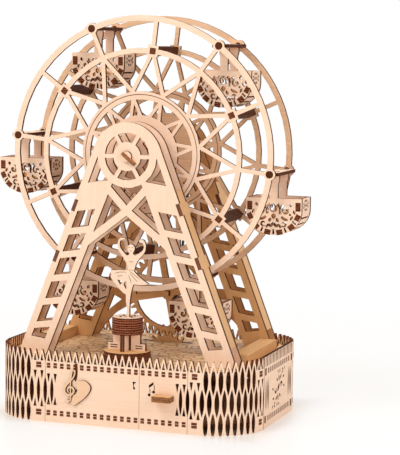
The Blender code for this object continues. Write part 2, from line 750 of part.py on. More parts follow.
def leg_windows():
    """Sloping windows down the right leg."""
    inner = leg_edge(LEG_INNER_TILT, LEG_INNER_REACH, WEB_WIDTH)
    outer = leg_edge(LEG_OUTER_TILT, LEG_OUTER_REACH, -WEB_WIDTH)
    slope = Vector((1.0, -tan(radians(LEG_WINDOW_SLOPE)))).normalized()
    windows = []
    for index in range(LEG_WINDOW_COUNT):
        top = LEG_WINDOW_TOP - index * LEG_WINDOW_PITCH
        bottom = top - LEG_WINDOW_PITCH + LEG_WINDOW_BAR
        sill = slope
        if index == LEG_WINDOW_COUNT - 1:
            bottom = STANDING + LEG_FOOT_RISE
            sill = Vector((slope.x, -slope.y))
        upper_in = at_height(inner, top)
        lower_in = at_height(inner, bottom)
        upper_out = meet_lines((Vector(upper_in), slope), outer)
        lower_out = meet_lines((Vector(lower_in), sill), outer)
        windows.append([upper_in, upper_out, lower_out, lower_in])
    return windows


def head_windows():
    """Openings of the head: ring sectors, side triangles and the gaps above and beside the brace."""
    middle = (0.0, AXLE_HEIGHT)
    windows = []
    half_spoke = HEAD_SPOKE_WIDTH / 2
    for index in range(6):
        start = index * pi / 3
        end = start + pi / 3
        edge_a = strip_edge((0.0, 0.0), polar(1.0, start), half_spoke)
        edge_b = strip_edge((0.0, 0.0), polar(1.0, end), -half_spoke)
        window = sector_window(edge_a, edge_b, HEAD_DISC_RADIUS, HEAD_RING_INNER, WINDOW_STEPS)
        windows.append(moved(window, middle))
    outer = from_axle(leg_edge(LEG_OUTER_TILT, LEG_OUTER_REACH, -WEB_WIDTH))
    inner = from_axle(leg_edge(LEG_INNER_TILT, LEG_INNER_REACH))
    slope = Vector((1.0, -tan(radians(LEG_WINDOW_SLOPE)))).normalized()
    rung = (Vector((HEAD_RING_OUTER, -HEAD_RUNG_DROP)), slope)
    rung_start = meet_circle(rung, HEAD_RING_OUTER)
    web_start = meet_circle(outer, HEAD_RING_OUTER)
    side = moved(arc_between(rung_start, web_start, WINDOW_STEPS) + [meet_lines(rung, outer)], middle)
    windows += [side, mirrored(side)]
    over_arm = brace_edge(True, BRACE_ARM_WIDTH / 2)
    reach = meet_circle(inner, HEAD_RING_OUTER)
    mirror_reach = (-reach[0], reach[1])
    shoulder = meet_lines(over_arm, leg_edge(LEG_INNER_TILT, LEG_INNER_REACH))
    crotch = (0.0, at_x(over_arm, 0.0))
    under_ring = moved(arc_between(reach, mirror_reach, WINDOW_STEPS), middle)
    windows.append(under_ring + [(-shoulder[0], shoulder[1]), crotch, shoulder])
    return windows


def from_axle(line):
    """The same line measured from the axle."""
    return line[0] - Vector((0.0, AXLE_HEIGHT)), line[1]


def brace_side_window():
    """Triangle between the two right arms of the brace and the right leg."""
    leg = leg_edge(LEG_INNER_TILT, LEG_INNER_REACH)
    under_upper = brace_edge(True, -BRACE_ARM_WIDTH / 2)
    over_lower = brace_edge(False, BRACE_ARM_WIDTH / 2)
    return [meet_lines(under_upper, over_lower), meet_lines(over_lower, leg), meet_lines(under_upper, leg)]


def frame_plate(name, middle_y, banded):
    """One A-frame plate; the banded one also carries the bearing of the drive shaft."""
    side = brace_side_window()
    right = leg_windows()
    holes = [side, mirrored(side)] + right + [mirrored(window) for window in right] + head_windows()
    holes.append(circle(JOURNAL_RADIUS + FIT_GAP, ROUND_STEPS, (0.0, AXLE_HEIGHT)))
    plate = upright_sheet(name, frame_outline(), holes, middle_y)
    if not banded:
        return plate
    band_bottom = DRIVE_SHAFT_HEIGHT - BEARING_BAND_WIDTH / 2
    band_top = DRIVE_SHAFT_HEIGHT + BEARING_BAND_WIDTH / 2
    reach = at_height(leg_edge(LEG_INNER_TILT, LEG_INNER_REACH, WEB_WIDTH / 2), band_bottom)[0]
    fuse(plate, upright_sheet(name + "_band", rectangle(-reach, reach, band_bottom, band_top), [], middle_y))
    boss = circle(BEARING_BOSS_RADIUS, ROUND_STEPS, (0.0, DRIVE_SHAFT_HEIGHT))
    fuse(plate, upright_sheet(name + "_boss", boss, [], middle_y))
    before = (0.0, middle_y - SHEET, DRIVE_SHAFT_HEIGHT)
    behind = (0.0, middle_y + SHEET, DRIVE_SHAFT_HEIGHT)
    cut(plate, rod(name + "_bore", DRIVE_SHAFT_RADIUS + FIT_GAP, before, behind))
    return plate


def leg_rail(name, side_x, side_y):
    """Strip between the two plates of an A-frame along a leg, with tabs through the plate notches."""
    rail_line = leg_edge(LEG_OUTER_TILT, LEG_OUTER_REACH)
    inside_line = leg_edge(LEG_OUTER_TILT, LEG_OUTER_REACH, -SHEET)
    top = AXLE_HEIGHT - RAIL_TOP_DROP
    bottom = STANDING + RAIL_FOOT_RISE
    body = [
        at_height(rail_line, top), at_height(rail_line, bottom),
        at_height(inside_line, bottom), at_height(inside_line, top),
    ]
    gap_middle = (FRAME_OUTER_FACE_Y + FRAME_INNER_FACE_Y) / 2
    depth = FRAME_OUTER_FACE_Y - FRAME_INNER_FACE_Y - 2 * SHEET - 2 * FIT_GAP
    rail = upright_sheet(name, body, [], gap_middle, depth)
    half_tab = RAIL_TAB_LENGTH / 2
    for index, drop in enumerate(RAIL_TAB_DROPS):
        middle = Vector(at_height(rail_line, AXLE_HEIGHT - drop))
        tilt = radians(LEG_OUTER_TILT)
        inwards = Vector((cos(tilt), sin(tilt))) * -SHEET
        along = rail_line[1] * half_tab
        tab = [middle - along, middle + along, middle + along + inwards, middle - along + inwards]
        width = FRAME_OUTER_FACE_Y - FRAME_INNER_FACE_Y
        fuse(rail, upright_sheet(f"{name}_tab_{index}", [tuple(p) for p in tab], [], gap_middle, width))
    mirror = Matrix.Diagonal((side_x, side_y, 1.0, 1.0))
    for part in [rail] + [modifier.object for modifier in rail.modifiers]:
        move_mesh(part, mirror)
        if side_x * side_y < 0:
            welded(part.data, part.name)
    return rail


# Wheel

def rim_windows():
    """All the openings of one rim except the bores."""
    windows = []
    truss = TRUSS_WIDTH / 2
    strut = HUB_STRUT_WIDTH / 2
    for index in range(SPOKE_COUNT):
        node = FIRST_PIVOT + index * SPOKE_STEP
        half_step = node + SPOKE_STEP / 2
        after = node + SPOKE_STEP
        before_half = node - SPOKE_STEP / 2
        spoke_a = strip_edge((0.0, 0.0), polar(1.0, node), SPOKE_WIDTH / 2)
        spoke_b = strip_edge((0.0, 0.0), polar(1.0, after), -SPOKE_WIDTH / 2)
        windows.append(sector_window(spoke_a, spoke_b, INNER_RING_OUTER, OUTER_RING_INNER, WINDOW_STEPS + 1))
        tip = polar(NODE_RADIUS, node)
        after_tip = polar(NODE_RADIUS, after)
        foot = polar(HUB_RING_OUTER, half_step)
        before_foot = polar(HUB_RING_OUTER, before_half)
        rising = strip_edge(before_foot, tip, truss)
        falling = strip_edge(foot, tip, -truss)
        windows.append(pointed_window(rising, falling, HUB_RING_OUTER, WINDOW_STEPS))
        left_side = strip_edge(foot, tip, truss)
        right_side = strip_edge(foot, after_tip, -truss)
        windows.append(pointed_window(right_side, left_side, INNER_RING_INNER, WINDOW_STEPS))
        strut_tip = polar(HUB_RING_INNER + strut, half_step)
        strut_before = polar(HUB_DISC_RADIUS, half_step - SPOKE_STEP / 4)
        strut_after = polar(HUB_DISC_RADIUS, half_step + SPOKE_STEP / 4)
        windows.append(
            pointed_window(
                strip_edge(strut_before, strut_tip, strut), strip_edge(strut_after, strut_tip, -strut),
                HUB_DISC_RADIUS, WINDOW_STEPS - 1,
            )
        )
        next_tip = polar(HUB_RING_INNER + strut, half_step + SPOKE_STEP)
        next_before = polar(HUB_DISC_RADIUS, half_step + SPOKE_STEP - SPOKE_STEP / 4)
        windows.append(
            sector_window(
                strip_edge(strut_after, strut_tip, strut), strip_edge(next_before, next_tip, -strut),
                HUB_DISC_RADIUS, HUB_RING_INNER, WINDOW_STEPS,
            )
        )
    return windows


def around_axle(radius, angle):
    """Position in X and Z of a point of the wheel."""
    x, z = polar(radius, angle)
    return x, AXLE_HEIGHT + z


def block_outline(angle, half_radial, half_across):
    """Rectangle at a cross-bar node, turned with the wheel."""
    middle = Vector(around_axle(NODE_RADIUS, angle))
    radial = Vector(polar(half_radial, angle))
    across = Vector(polar(half_across, angle + pi / 2))
    return [
        tuple(middle + radial + across), tuple(middle - radial + across),
        tuple(middle - radial - across), tuple(middle + radial - across),
    ]


def rim(name, side, carries_bars):
    """One side of the wheel; the rear one carries the cross-bars and the front one their mortises."""
    middle_y = side * (RIM_FACE_Y - SHEET / 2)
    centre = (0.0, AXLE_HEIGHT)
    holes = [moved(window, centre) for window in rim_windows()]
    holes.append(circle(AXLE_RADIUS + FIT_GAP, ROUND_STEPS, centre))
    wheel = upright_sheet(name, circle(OUTER_RING_OUTER, RIM_STEPS, centre), holes, middle_y)
    for index in range(GONDOLA_COUNT):
        pivot = around_axle(PIVOT_RADIUS, FIRST_PIVOT + index * 2 * SPOKE_STEP)
        boss = circle(PIVOT_BOSS_RADIUS, ROUND_STEPS, pivot)
        fuse(wheel, upright_sheet(f"{name}_boss_{index}", boss, [], middle_y))
        node = FIRST_NODE + index * 2 * SPOKE_STEP
        block = block_outline(node, NODE_BLOCK / 2, NODE_BLOCK / 2)
        fuse(wheel, upright_sheet(f"{name}_block_{index}", block, [], middle_y))
    for index in range(GONDOLA_COUNT):
        x, z = around_axle(PIVOT_RADIUS, FIRST_PIVOT + index * 2 * SPOKE_STEP)
        before = (x, middle_y - SHEET, z)
        behind = (x, middle_y + SHEET, z)
        cut(wheel, rod(f"{name}_pivot_{index}", PLUG_RADIUS + FIT_GAP, before, behind))
        node = FIRST_NODE + index * 2 * SPOKE_STEP
        if not carries_bars:
            half = TENON_WIDTH / 2 + FIT_GAP
            mortise = block_outline(node, half, half)
            cut(wheel, upright_sheet(f"{name}_mortise_{index}", mortise, [], middle_y, 2 * SHEET))
            continue
        front_end = -RIM_INNER_Y + FIT_GAP
        bar = block_outline(node, CROSS_BAR_WIDTH / 2, CROSS_BAR_THICKNESS / 2)
        length = RIM_INNER_Y + SHEET / 2 - front_end
        fuse(wheel, upright_sheet(f"{name}_bar_{index}", bar, [], front_end + length / 2, length))
        tenon = block_outline(node, TENON_WIDTH / 2, TENON_WIDTH / 2)
        fuse(wheel, upright_sheet(f"{name}_tenon_{index}", tenon, [], -RIM_FACE_Y / 2, RIM_FACE_Y))
    merge_flat_faces(wheel)
    return wheel


def axle():
    """Turned axle with collars outside the rims, journals in the A-frame heads and a wedge in front."""
    end = FRAME_OUTER_FACE_Y + CUT_MARGIN
    collar_end = FRAME_INNER_FACE_Y - FIT_GAP
    collar_start = RIM_FACE_Y + FIT_GAP
    half = [(0.0, end), (JOURNAL_RADIUS, end), (JOURNAL_RADIUS, collar_end), (AXLE_COLLAR_RADIUS, collar_end),
            (AXLE_COLLAR_RADIUS, collar_start), (AXLE_RADIUS, collar_start)]
    profile = half + [(radius, -height) for radius, height in reversed(half)]
    shaft = laid_along_y(turned("axle", profile), AXLE_HEIGHT)
    wedge_back = -FRAME_OUTER_FACE_Y - FIT_GAP
    wedge = box("axle_wedge", (0.0, WEDGE_LENGTH), (wedge_back - SHEET, wedge_back), (-SHEET / 2, SHEET / 2))
    turn = Matrix.Translation((0.0, 0.0, AXLE_HEIGHT)) @ Matrix.Rotation(-radians(WEDGE_TILT), 4, "Y")
    move_mesh(wedge, turn @ Matrix.Translation((-JOURNAL_RADIUS, 0.0, 0.0)))
    return round_shading(fuse(shaft, wedge))


# Gondolas

def hull_outline(inset, top):
    """Boat-shaped outline of a gondola, from its top left round the bottom to its top right."""
    half = GONDOLA_LENGTH / 2 - inset
    drop = GONDOLA_SHOULDER - GONDOLA_BOTTOM - inset
    points = [(-half, top)]
    for index in range(HULL_STEPS + 1):
        x, z = polar(1.0, pi + pi * index / HULL_STEPS)
        points.append((half * x, GONDOLA_SHOULDER + drop * z))
    points.append((half, top))
    return points


def teardrop(centre, reach, angle):
    """Small opening, pointed at one end."""
    along = Vector(polar(reach, angle))
    across = Vector(polar(reach / SCROLL_SLIMNESS, angle + pi / 2))
    middle = Vector(centre)
    tail = middle - along
    points = [tail - across / 2, middle - across, middle + along, middle + across, tail + across / 2]
    return [tuple(point) for point in points]


def gondola_side(name, side):
    """Side of a gondola with its strap, in pivot coordinates."""
    bar_under = -SHEET / 2 - FIT_GAP
    tongue_top = SHEET / 2 + FIT_GAP
    strap = STRAP_WIDTH / 2
    shoulder = STRAP_SHOULDER_WIDTH / 2
    flare = bar_under - STRAP_SHOULDER_WIDTH / 2
    hanger = [(strap, GONDOLA_TOP), (strap, flare - SHEET), (shoulder, flare), (shoulder, bar_under),
              (strap, bar_under), (strap, tongue_top)]
    outline = hull_outline(0.0, GONDOLA_TOP) + hanger + [(-x, z) for x, z in reversed(hanger)]
    middle = (GONDOLA_TOP + GONDOLA_BOTTOM) / 2
    holes = [teardrop((0.0, middle), LEAF_REACH, pi / 2)]
    for sign in (-1, 1):
        turn = pi / 2 + sign * radians(SCROLL_TILT)
        holes.append(teardrop((sign * SCROLL_X, middle + SCROLL_RISE), SCROLL_REACH, turn))
    middle_y = side * (GONDOLA_FACE_Y - SHEET / 2)
    return upright_sheet(name, outline, holes, middle_y)


def gondola(index):
    """Swinging gondola: bar, two sides and the basket between them."""
    x, z = around_axle(PIVOT_RADIUS, FIRST_PIVOT + index * 2 * SPOKE_STEP)
    pivot = Matrix.Translation((x, 0.0, z))
    name = f"gondola_{index + 1}"
    half_board = RIM_INNER_Y - FIT_GAP
    bar_x = (-BAR_WIDTH / 2, BAR_WIDTH / 2)
    bar = box(name + "_bar", bar_x, (-half_board, half_board), (-SHEET / 2, SHEET / 2))
    pieces = [bar]
    for side in (-1, 1):
        plug = rod(f"{name}_plug_{side}", PLUG_RADIUS, (0.0, side * (half_board - SHEET), 0.0),
                   (0.0, side * RIM_FACE_Y, 0.0))
        slot_half = STRAP_WIDTH / 2 + FIT_GAP
        near = side * (GONDOLA_FACE_Y + FIT_GAP)
        far = side * (GONDOLA_FACE_Y - SHEET - FIT_GAP)
        slot_y = (min(near, far), max(near, far))
        slot = box(f"{name}_slot_{side}", (-slot_half, slot_half), slot_y, (-SHEET, SHEET))
        fuse(bar, plug)
        cut(bar, slot)
        pieces += [plug, slot]
    front = gondola_side(name + "_front", -1)
    rear = gondola_side(name + "_rear", 1)
    outer = hull_outline(BASKET_INSET, GONDOLA_TOP)
    inner = hull_outline(BASKET_INSET + SHEET, GONDOLA_TOP)
    width = 2 * (GONDOLA_FACE_Y - SHEET - FIT_GAP)
    basket = upright_sheet(name + "_basket", outer + list(reversed(inner)), [], 0.0, width)
    seat_half = GONDOLA_LENGTH / 2 - BASKET_INSET - SHEET / 2
    back_y = width / 2
    seat = box(name + "_seat", (-seat_half + SHEET, seat_half - SHEET), (back_y - SEAT_DEPTH, back_y),
               (SEAT_HEIGHT - SHEET, SEAT_HEIGHT))
    backrest = box(name + "_backrest", (-seat_half, seat_half), (back_y - SHEET, back_y),
                   (SEAT_HEIGHT - SHEET / 2, BACKREST_TOP))
    rosette = rod(name + "_rosette", ROSETTE_RADIUS, (-GONDOLA_LENGTH, -SHEET, ROSETTE_HEIGHT),
                  (GONDOLA_LENGTH, -SHEET, ROSETTE_HEIGHT), CORNER_STEPS)
    cut(basket, rosette)
    fuse(basket, backrest)
    fuse(basket, seat)
    merge_flat_faces(basket)
    for item in pieces + [front, rear, basket, seat, backrest, rosette]:
        move_mesh(item, pivot)
    joint_empty(f"{name}_pivot", (x, 0.0, z), [bar, front, rear, basket])
    return [bar, front, rear, basket]


# Pedestal and dancer

def pedestal():
    """Layered base disc with posts under the turntable."""
    hole = TURNTABLE_SHAFT_RADIUS + FIT_GAP
    base = level_sheet("pedestal", circle(PEDESTAL_RADIUS, DISC_STEPS, (0.0, PEDESTAL_Y)),
                       [circle(hole, ROUND_STEPS, (0.0, PEDESTAL_Y))], STANDING, PEDESTAL_BASE_HEIGHT)
    post_bottom = STANDING + PEDESTAL_BASE_HEIGHT - CUT_MARGIN / 2
    for index in range(POST_COUNT):
        post = box(f"pedestal_post_{index}", (POST_INNER_REACH, POST_REACH), (-SHEET / 2, SHEET / 2),
                   (post_bottom, PEDESTAL_TOP))
        turn = Matrix.Rotation(pi / 4 + index * 2 * pi / POST_COUNT, 4, "Z")
        move_mesh(post, Matrix.Translation((0.0, PEDESTAL_Y, 0.0)) @ turn)
        fuse(base, post)
    return round_shading(base)


def turntable():
    """Drum, shaft and friction disc turned as one piece."""
    disc_top = FRICTION_CONTACT_HEIGHT + SHEET / 2
    disc_bottom = FRICTION_CONTACT_HEIGHT - SHEET / 2
    profile = [
        (0.0, DRUM_TOP), (DRUM_RADIUS, DRUM_TOP), (DRUM_RADIUS, DRUM_BOTTOM),
        (TURNTABLE_SHAFT_RADIUS, DRUM_BOTTOM), (TURNTABLE_SHAFT_RADIUS, disc_top),
        (FRICTION_DISC_RADIUS, disc_top), (FRICTION_DISC_RADIUS, disc_bottom),
        (TURNTABLE_SHAFT_RADIUS, disc_bottom), (TURNTABLE_SHAFT_RADIUS, BASE_PLATE_TOP + FIT_GAP),
        (0.0, BASE_PLATE_TOP + FIT_GAP),
    ]
    table = move_mesh(turned("turntable", profile, DISC_STEPS), Matrix.Translation((0.0, PEDESTAL_Y, 0.0)))
    half_slot = SHEET + FIT_GAP
    slot_y = (PEDESTAL_Y - SHEET / 2 - FIT_GAP, PEDESTAL_Y + SHEET / 2 + FIT_GAP)
    slot_z = (DRUM_TOP - SHEET - FIT_GAP, DRUM_TOP + SHEET)
    slot = box("dancer_slot", (-half_slot, half_slot), slot_y, slot_z)
    return round_shading(cut(table, slot))


def dancer():
    """Flat ballet figure on one toe, with its tab in the slot of the drum."""
    scale = Matrix.Diagonal((DANCER_HEIGHT, DANCER_HEIGHT))
    tab = [(-SHEET, 0.0), (-SHEET, -SHEET), (SHEET, -SHEET), (SHEET, 0.0)]
    shapes = [tab + [tuple(scale @ Vector(point)) for point in DANCER_OUTLINE]]
    for gap in (DANCER_KNEE_GAP, DANCER_SHIN_GAP):
        shapes.append([tuple(scale @ Vector(point)) for point in gap])
    raised = [moved(shape, (0.0, DRUM_TOP)) for shape in shapes]
    return upright_sheet("ballerina", raised[0], raised[1:], PEDESTAL_Y)


# Drive train

def involute(angle):
    """Involute of an angle, used for the width of a gear tooth."""
    return tan(angle) - angle


def gear_outline(teeth, first_tooth, centre):
    """Outline of a spur gear with a tooth centred on the first angle."""
    pitch_radius = teeth * GEAR_MODULE / 2
    base_radius = pitch_radius * cos(radians(PRESSURE_ANGLE))
    root = pitch_radius - GEAR_DEDENDUM * GEAR_MODULE
    tip = pitch_radius + GEAR_ADDENDUM * GEAR_MODULE
    half_at_pitch = pi / (2 * teeth) - GEAR_BACKLASH / (4 * pitch_radius)
    at_base = half_at_pitch + involute(radians(PRESSURE_ANGLE))
    pressure_at_tip = asin(sqrt(1 - (base_radius / tip) ** 2))
    widths = [(root, at_base), (tip, at_base - involute(pressure_at_tip))]
    points = []
    for index in range(teeth):
        middle = first_tooth + index * 2 * pi / teeth
        points += [polar(radius, middle - half) for radius, half in widths]
        points += [polar(radius, middle + half) for radius, half in reversed(widths)]
    return moved(points, centre)


def drive_gear():
    """Spoked gear on its shaft with the small belt pulley behind it."""
    centre = (0.0, DRIVE_SHAFT_HEIGHT)
    holes = []
    half = GEAR_SPOKE_WIDTH / 2
    step = 2 * pi / GEAR_SPOKE_COUNT
    for index in range(GEAR_SPOKE_COUNT):
        start = radians(GEAR_SPOKE_TURN) + index * step
        edge_a = strip_edge((0.0, 0.0), polar(1.0, start), half)
        edge_b = strip_edge((0.0, 0.0), polar(1.0, start + step), -half)
        window = sector_window(edge_a, edge_b, GEAR_HUB_RADIUS, GEAR_RIM_INNER, WIDE_WINDOW_STEPS)
        holes.append(moved(window, centre))
    outline = gear_outline(DRIVE_TEETH, -pi / 2, centre)
    gear = upright_sheet("drive_gear", outline, holes, GEAR_FACE_Y + SHEET / 2)
    shaft_end = FRAME_OUTER_FACE_Y + CUT_MARGIN
    start = GEAR_FACE_Y + SHEET / 2
    pulley_start = PULLEY_Y - PULLEY_WIDTH / 2
    pulley_end = PULLEY_Y + PULLEY_WIDTH / 2
    profile = [
        (0.0, shaft_end), (DRIVE_SHAFT_RADIUS, shaft_end), (DRIVE_SHAFT_RADIUS, pulley_end),
        (DRIVE_PULLEY_RADIUS, pulley_end), (DRIVE_PULLEY_RADIUS, pulley_start),
        (DRIVE_SHAFT_RADIUS, pulley_start), (DRIVE_SHAFT_RADIUS, start), (0.0, start),
    ]
    fuse(gear, laid_along_y(turned("drive_shaft", profile), DRIVE_SHAFT_HEIGHT))
    square = DRIVE_SHAFT_SQUARE / 2
    stub = upright_sheet("drive_square", moved(rectangle(-square, square, -square, square), centre), [],
                         GEAR_FACE_Y - SHEET / 2, 2 * SHEET)
    merge_flat_faces(fuse(gear, stub))
    return gear


def output_shaft():
    """Gear, long shaft and friction disc under the deck."""
    centre = (0.0, OUTPUT_SHAFT_HEIGHT)
    first_tooth = pi / 2 + pi / OUTPUT_TEETH
    gear = upright_sheet("output_shaft", gear_outline(OUTPUT_TEETH, first_tooth, centre), [],
                         GEAR_FACE_Y + SHEET / 2)
    back = MOVEMENT_FRONT_Y + 2 * SHEET
    disc_back = OUTPUT_DISC_FACE_Y + SHEET
    profile = [
        (0.0, back), (OUTPUT_SHAFT_RADIUS, back), (OUTPUT_SHAFT_RADIUS, disc_back),
        (OUTPUT_DISC_RADIUS, disc_back), (OUTPUT_DISC_RADIUS, OUTPUT_DISC_FACE_Y), (0.0, OUTPUT_DISC_FACE_Y),
    ]
    merge_flat_faces(fuse(gear, laid_along_y(turned("output_rod", profile), OUTPUT_SHAFT_HEIGHT)))
    return gear


def axle_pulley():
    """Large belt pulley on the axle."""
    hole = JOURNAL_RADIUS + FIT_GAP
    return upright_sheet("axle_pulley", circle(AXLE_PULLEY_RADIUS, DISC_STEPS, (0.0, AXLE_HEIGHT)),
                         [circle(hole, ROUND_STEPS, (0.0, AXLE_HEIGHT))], PULLEY_Y, PULLEY_WIDTH)


def belt_loop(offset):
    """Path round both pulleys at this distance from them."""
    small = DRIVE_PULLEY_RADIUS + offset
    large = AXLE_PULLEY_RADIUS + offset
    lean = asin((large - small) / (AXLE_HEIGHT - DRIVE_SHAFT_HEIGHT))
    top = arc(large, -lean, pi + lean, BELT_LARGE_STEPS, (0.0, AXLE_HEIGHT))
    bottom = arc(small, pi + lean, 2 * pi - lean, BELT_SMALL_STEPS, (0.0, DRIVE_SHAFT_HEIGHT))
    return top + bottom


def drive_belt():
    """Flat belt round the two pulleys."""
    outer = belt_loop(FIT_GAP + BELT_THICKNESS)
    return upright_sheet("drive_belt", outer, [belt_loop(FIT_GAP)], PULLEY_Y, BELT_WIDTH)


# Music movement, key and drawer

def music_movement():
    """Closed housing of the music movement with bores for its shaft and key."""
    bottom = BASE_PLATE_TOP + FIT_GAP
    housing = box("music_movement", (-MOVEMENT_WIDTH / 2, MOVEMENT_WIDTH / 2),
                  (MOVEMENT_FRONT_Y, MOVEMENT_FRONT_Y + MOVEMENT_DEPTH), (bottom, bottom + MOVEMENT_HEIGHT))
    edges = housing.modifiers.new("edges", "BEVEL")
    edges.width = MOVEMENT_BEVEL
    edges.segments = 1
    back = MOVEMENT_FRONT_Y + 2 * SHEET + FIT_GAP
    cut(housing, rod("movement_bore", OUTPUT_SHAFT_RADIUS + FIT_GAP,
                     (0.0, MOVEMENT_FRONT_Y - SHEET, OUTPUT_SHAFT_HEIGHT), (0.0, back, OUTPUT_SHAFT_HEIGHT)))
    key_end = HALF_DEPTH - KEY_STEM_LENGTH / 2 - FIT_GAP
    cut(housing, rod("key_bore", KEY_STEM_RADIUS + FIT_GAP, (KEY_X, key_end, KEY_HEIGHT),
                     (KEY_X, HALF_DEPTH, KEY_HEIGHT)))
    return housing


def winding_key():
    """Key at the rear with a flat oval grip."""
    stem_start = HALF_DEPTH - KEY_STEM_LENGTH / 2
    stem_end = HALF_DEPTH + KEY_STEM_LENGTH / 2
    grip = [(KEY_GRIP_WIDTH / 2 * x, KEY_GRIP_HEIGHT / 2 * z) for x, z in circle(1.0, DISC_STEPS)]
    key = upright_sheet("winding_key", moved(grip, (KEY_X, KEY_HEIGHT)), [], stem_end + SHEET / 2)
    inner_end = (KEY_X, stem_start, KEY_HEIGHT)
    outer_end = (KEY_X, stem_end + SHEET / 2, KEY_HEIGHT)
    return fuse(key, rod("key_stem", KEY_STEM_RADIUS, inner_end, outer_end))


def drawer():
    """Drawer front, its tray and the bar handle."""
    wall_y = HALF_DEPTH - SHEET / 2
    front = upright_sheet("drawer_front", wall_outline(DRAWER_SEAM_X, FRONT_SEAM_X), [], -wall_y)
    left = DRAWER_SEAM_X + SHEET
    right = FRONT_SEAM_X - SHEET
    near = -INNER_DEPTH + FIT_GAP
    far = near + TRAY_DEPTH
    tray = box("drawer_tray", (left, right), (near, far), (TRAY_FLOOR, TRAY_FLOOR + TRAY_HEIGHT))
    cut(tray, box("tray_hollow", (left + SHEET, right - SHEET), (near + SHEET, far - SHEET),
                  (TRAY_FLOOR + SHEET, TRAY_FLOOR + TRAY_HEIGHT + SHEET)))
    middle = (DRAWER_SEAM_X + FRONT_SEAM_X) / 2
    handle_back = -HALF_DEPTH - FIT_GAP
    handle = box("drawer_handle", (middle - HANDLE_WIDTH / 2, middle + HANDLE_WIDTH / 2),
                 (handle_back - HANDLE_REACH, handle_back),
                 (HANDLE_CENTRE_HEIGHT - HANDLE_HEIGHT / 2, HANDLE_CENTRE_HEIGHT + HANDLE_HEIGHT / 2))
    return front, tray, handle


def clear_scene():
    """Empties the startup scene."""
    for item in list(bpy.data.objects):
        bpy.data.objects.remove(item)
    bpy.context.scene.collection.children.link(PARTS)
    bpy.context.scene.collection.children.link(CUTTERS)
    CUTTERS.hide_render = True


def build():
    """Builds every piece and puts the moving ones on their joints."""
    clear_scene()
    front, rear = front_and_rear_walls()
    ends = [end_panel("end_panel_left", -1), end_panel("end_panel_right", 1)]
    corners = []
    for y_name, side_y in (("front", -1), ("rear", 1)):
        for x_name, side_x in (("left", -1), ("right", 1)):
            corners.append(corner_wall(f"corner_{y_name}_{x_name}", side_x, side_y))
    base, deck, paving = floors()
    frames = [
        frame_plate("front_frame_outer", -FRAME_MID_OUTER_Y, False),
        frame_plate("front_frame_inner", -FRAME_MID_INNER_Y, False),
        frame_plate("rear_frame_inner", FRAME_MID_INNER_Y, False),
        frame_plate("rear_frame_outer", FRAME_MID_OUTER_Y, True),
    ]
    rails = []
    for y_name, side_y in (("front", -1), ("rear", 1)):
        for x_name, side_x in (("left", -1), ("right", 1)):
            rails.append(leg_rail(f"{y_name}_rail_{x_name}", side_x, side_y))
    beam_y = FRAME_INNER_FACE_Y - FIT_GAP
    beam_z = (STANDING, STANDING + FOOT_BEAM_HEIGHT)
    beams = [
        box("foot_beam_left", (-FOOT_BEAM_OUTER_X, -FOOT_BEAM_INNER_X), (-beam_y, beam_y), beam_z),
        box("foot_beam_right", (FOOT_BEAM_INNER_X, FOOT_BEAM_OUTER_X), (-beam_y, beam_y), beam_z),
    ]
    front_rim = rim("front_rim", -1, False)
    rear_rim = rim("rear_rim", 1, True)
    shaft = axle()
    pulley = round_shading(axle_pulley())
    joint_empty("wheel_axis", (0.0, 0.0, AXLE_HEIGHT), [front_rim, rear_rim, shaft, pulley])
    gondolas = []
    for index in range(GONDOLA_COUNT):
        gondolas += gondola(index)
    stand = pedestal()
    table = turntable()
    figure = dancer()
    joint_empty("turntable_axis", (0.0, PEDESTAL_Y, DRUM_TOP), [table, figure])
    big_gear = drive_gear()
    joint_empty("drive_axis", (0.0, GEAR_FACE_Y, DRIVE_SHAFT_HEIGHT), [big_gear])
    output = output_shaft()
    joint_empty("output_axis", (0.0, GEAR_FACE_Y, OUTPUT_SHAFT_HEIGHT), [output])
    belt = drive_belt()
    movement = music_movement()
    key = winding_key()
    joint_empty("key_axis", (KEY_X, HALF_DEPTH, KEY_HEIGHT), [key])
    drawer_front, tray, handle = drawer()
    joint_empty("drawer_slide", (DRAWER_SEAM_X, -HALF_DEPTH, BASE_PLATE_TOP), [drawer_front, tray, handle])
    look([front, rear, drawer_front, handle, front_rim, rear_rim, figure, key], "birch_ply")
    look(ends + corners + frames + gondolas, "birch_ply")
    look([base, deck, paving, tray, big_gear, output, pulley] + rails + beams, "tan_ply")
    look([stand, table, shaft], "burnt_ply")
    look([movement], "movement_brass")
    look([belt], "belt_rubber")


build()
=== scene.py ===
"""Looks of the laser-cut plywood ferris wheel, in metres, +Z up, front towards -Y."""

import json
from math import asin, atan2, cos, degrees, pi, radians, sin

import bmesh
import bpy
from bpy.props import FloatProperty, FloatVectorProperty, IntProperty, PointerProperty
from mathutils import Matrix, Vector


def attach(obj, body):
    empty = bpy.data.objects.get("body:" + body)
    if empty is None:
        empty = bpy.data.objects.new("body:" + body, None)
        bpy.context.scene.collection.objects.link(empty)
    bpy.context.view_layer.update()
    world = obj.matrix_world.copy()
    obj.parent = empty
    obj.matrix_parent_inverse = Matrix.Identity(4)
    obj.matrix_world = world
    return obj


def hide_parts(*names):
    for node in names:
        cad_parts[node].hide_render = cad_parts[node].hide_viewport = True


bl_info = {
    "name": "Plywood Ferris Wheel",
    "version": (1, 0, 0),
    "blender": (4, 5, 0),
    "location": "View3D > Sidebar > Ferris Wheel",
    "description": "Dresses the ferris wheel model: lattice base, scroll-cut gondolas, dancer and finishes",
    "category": "Object",
}

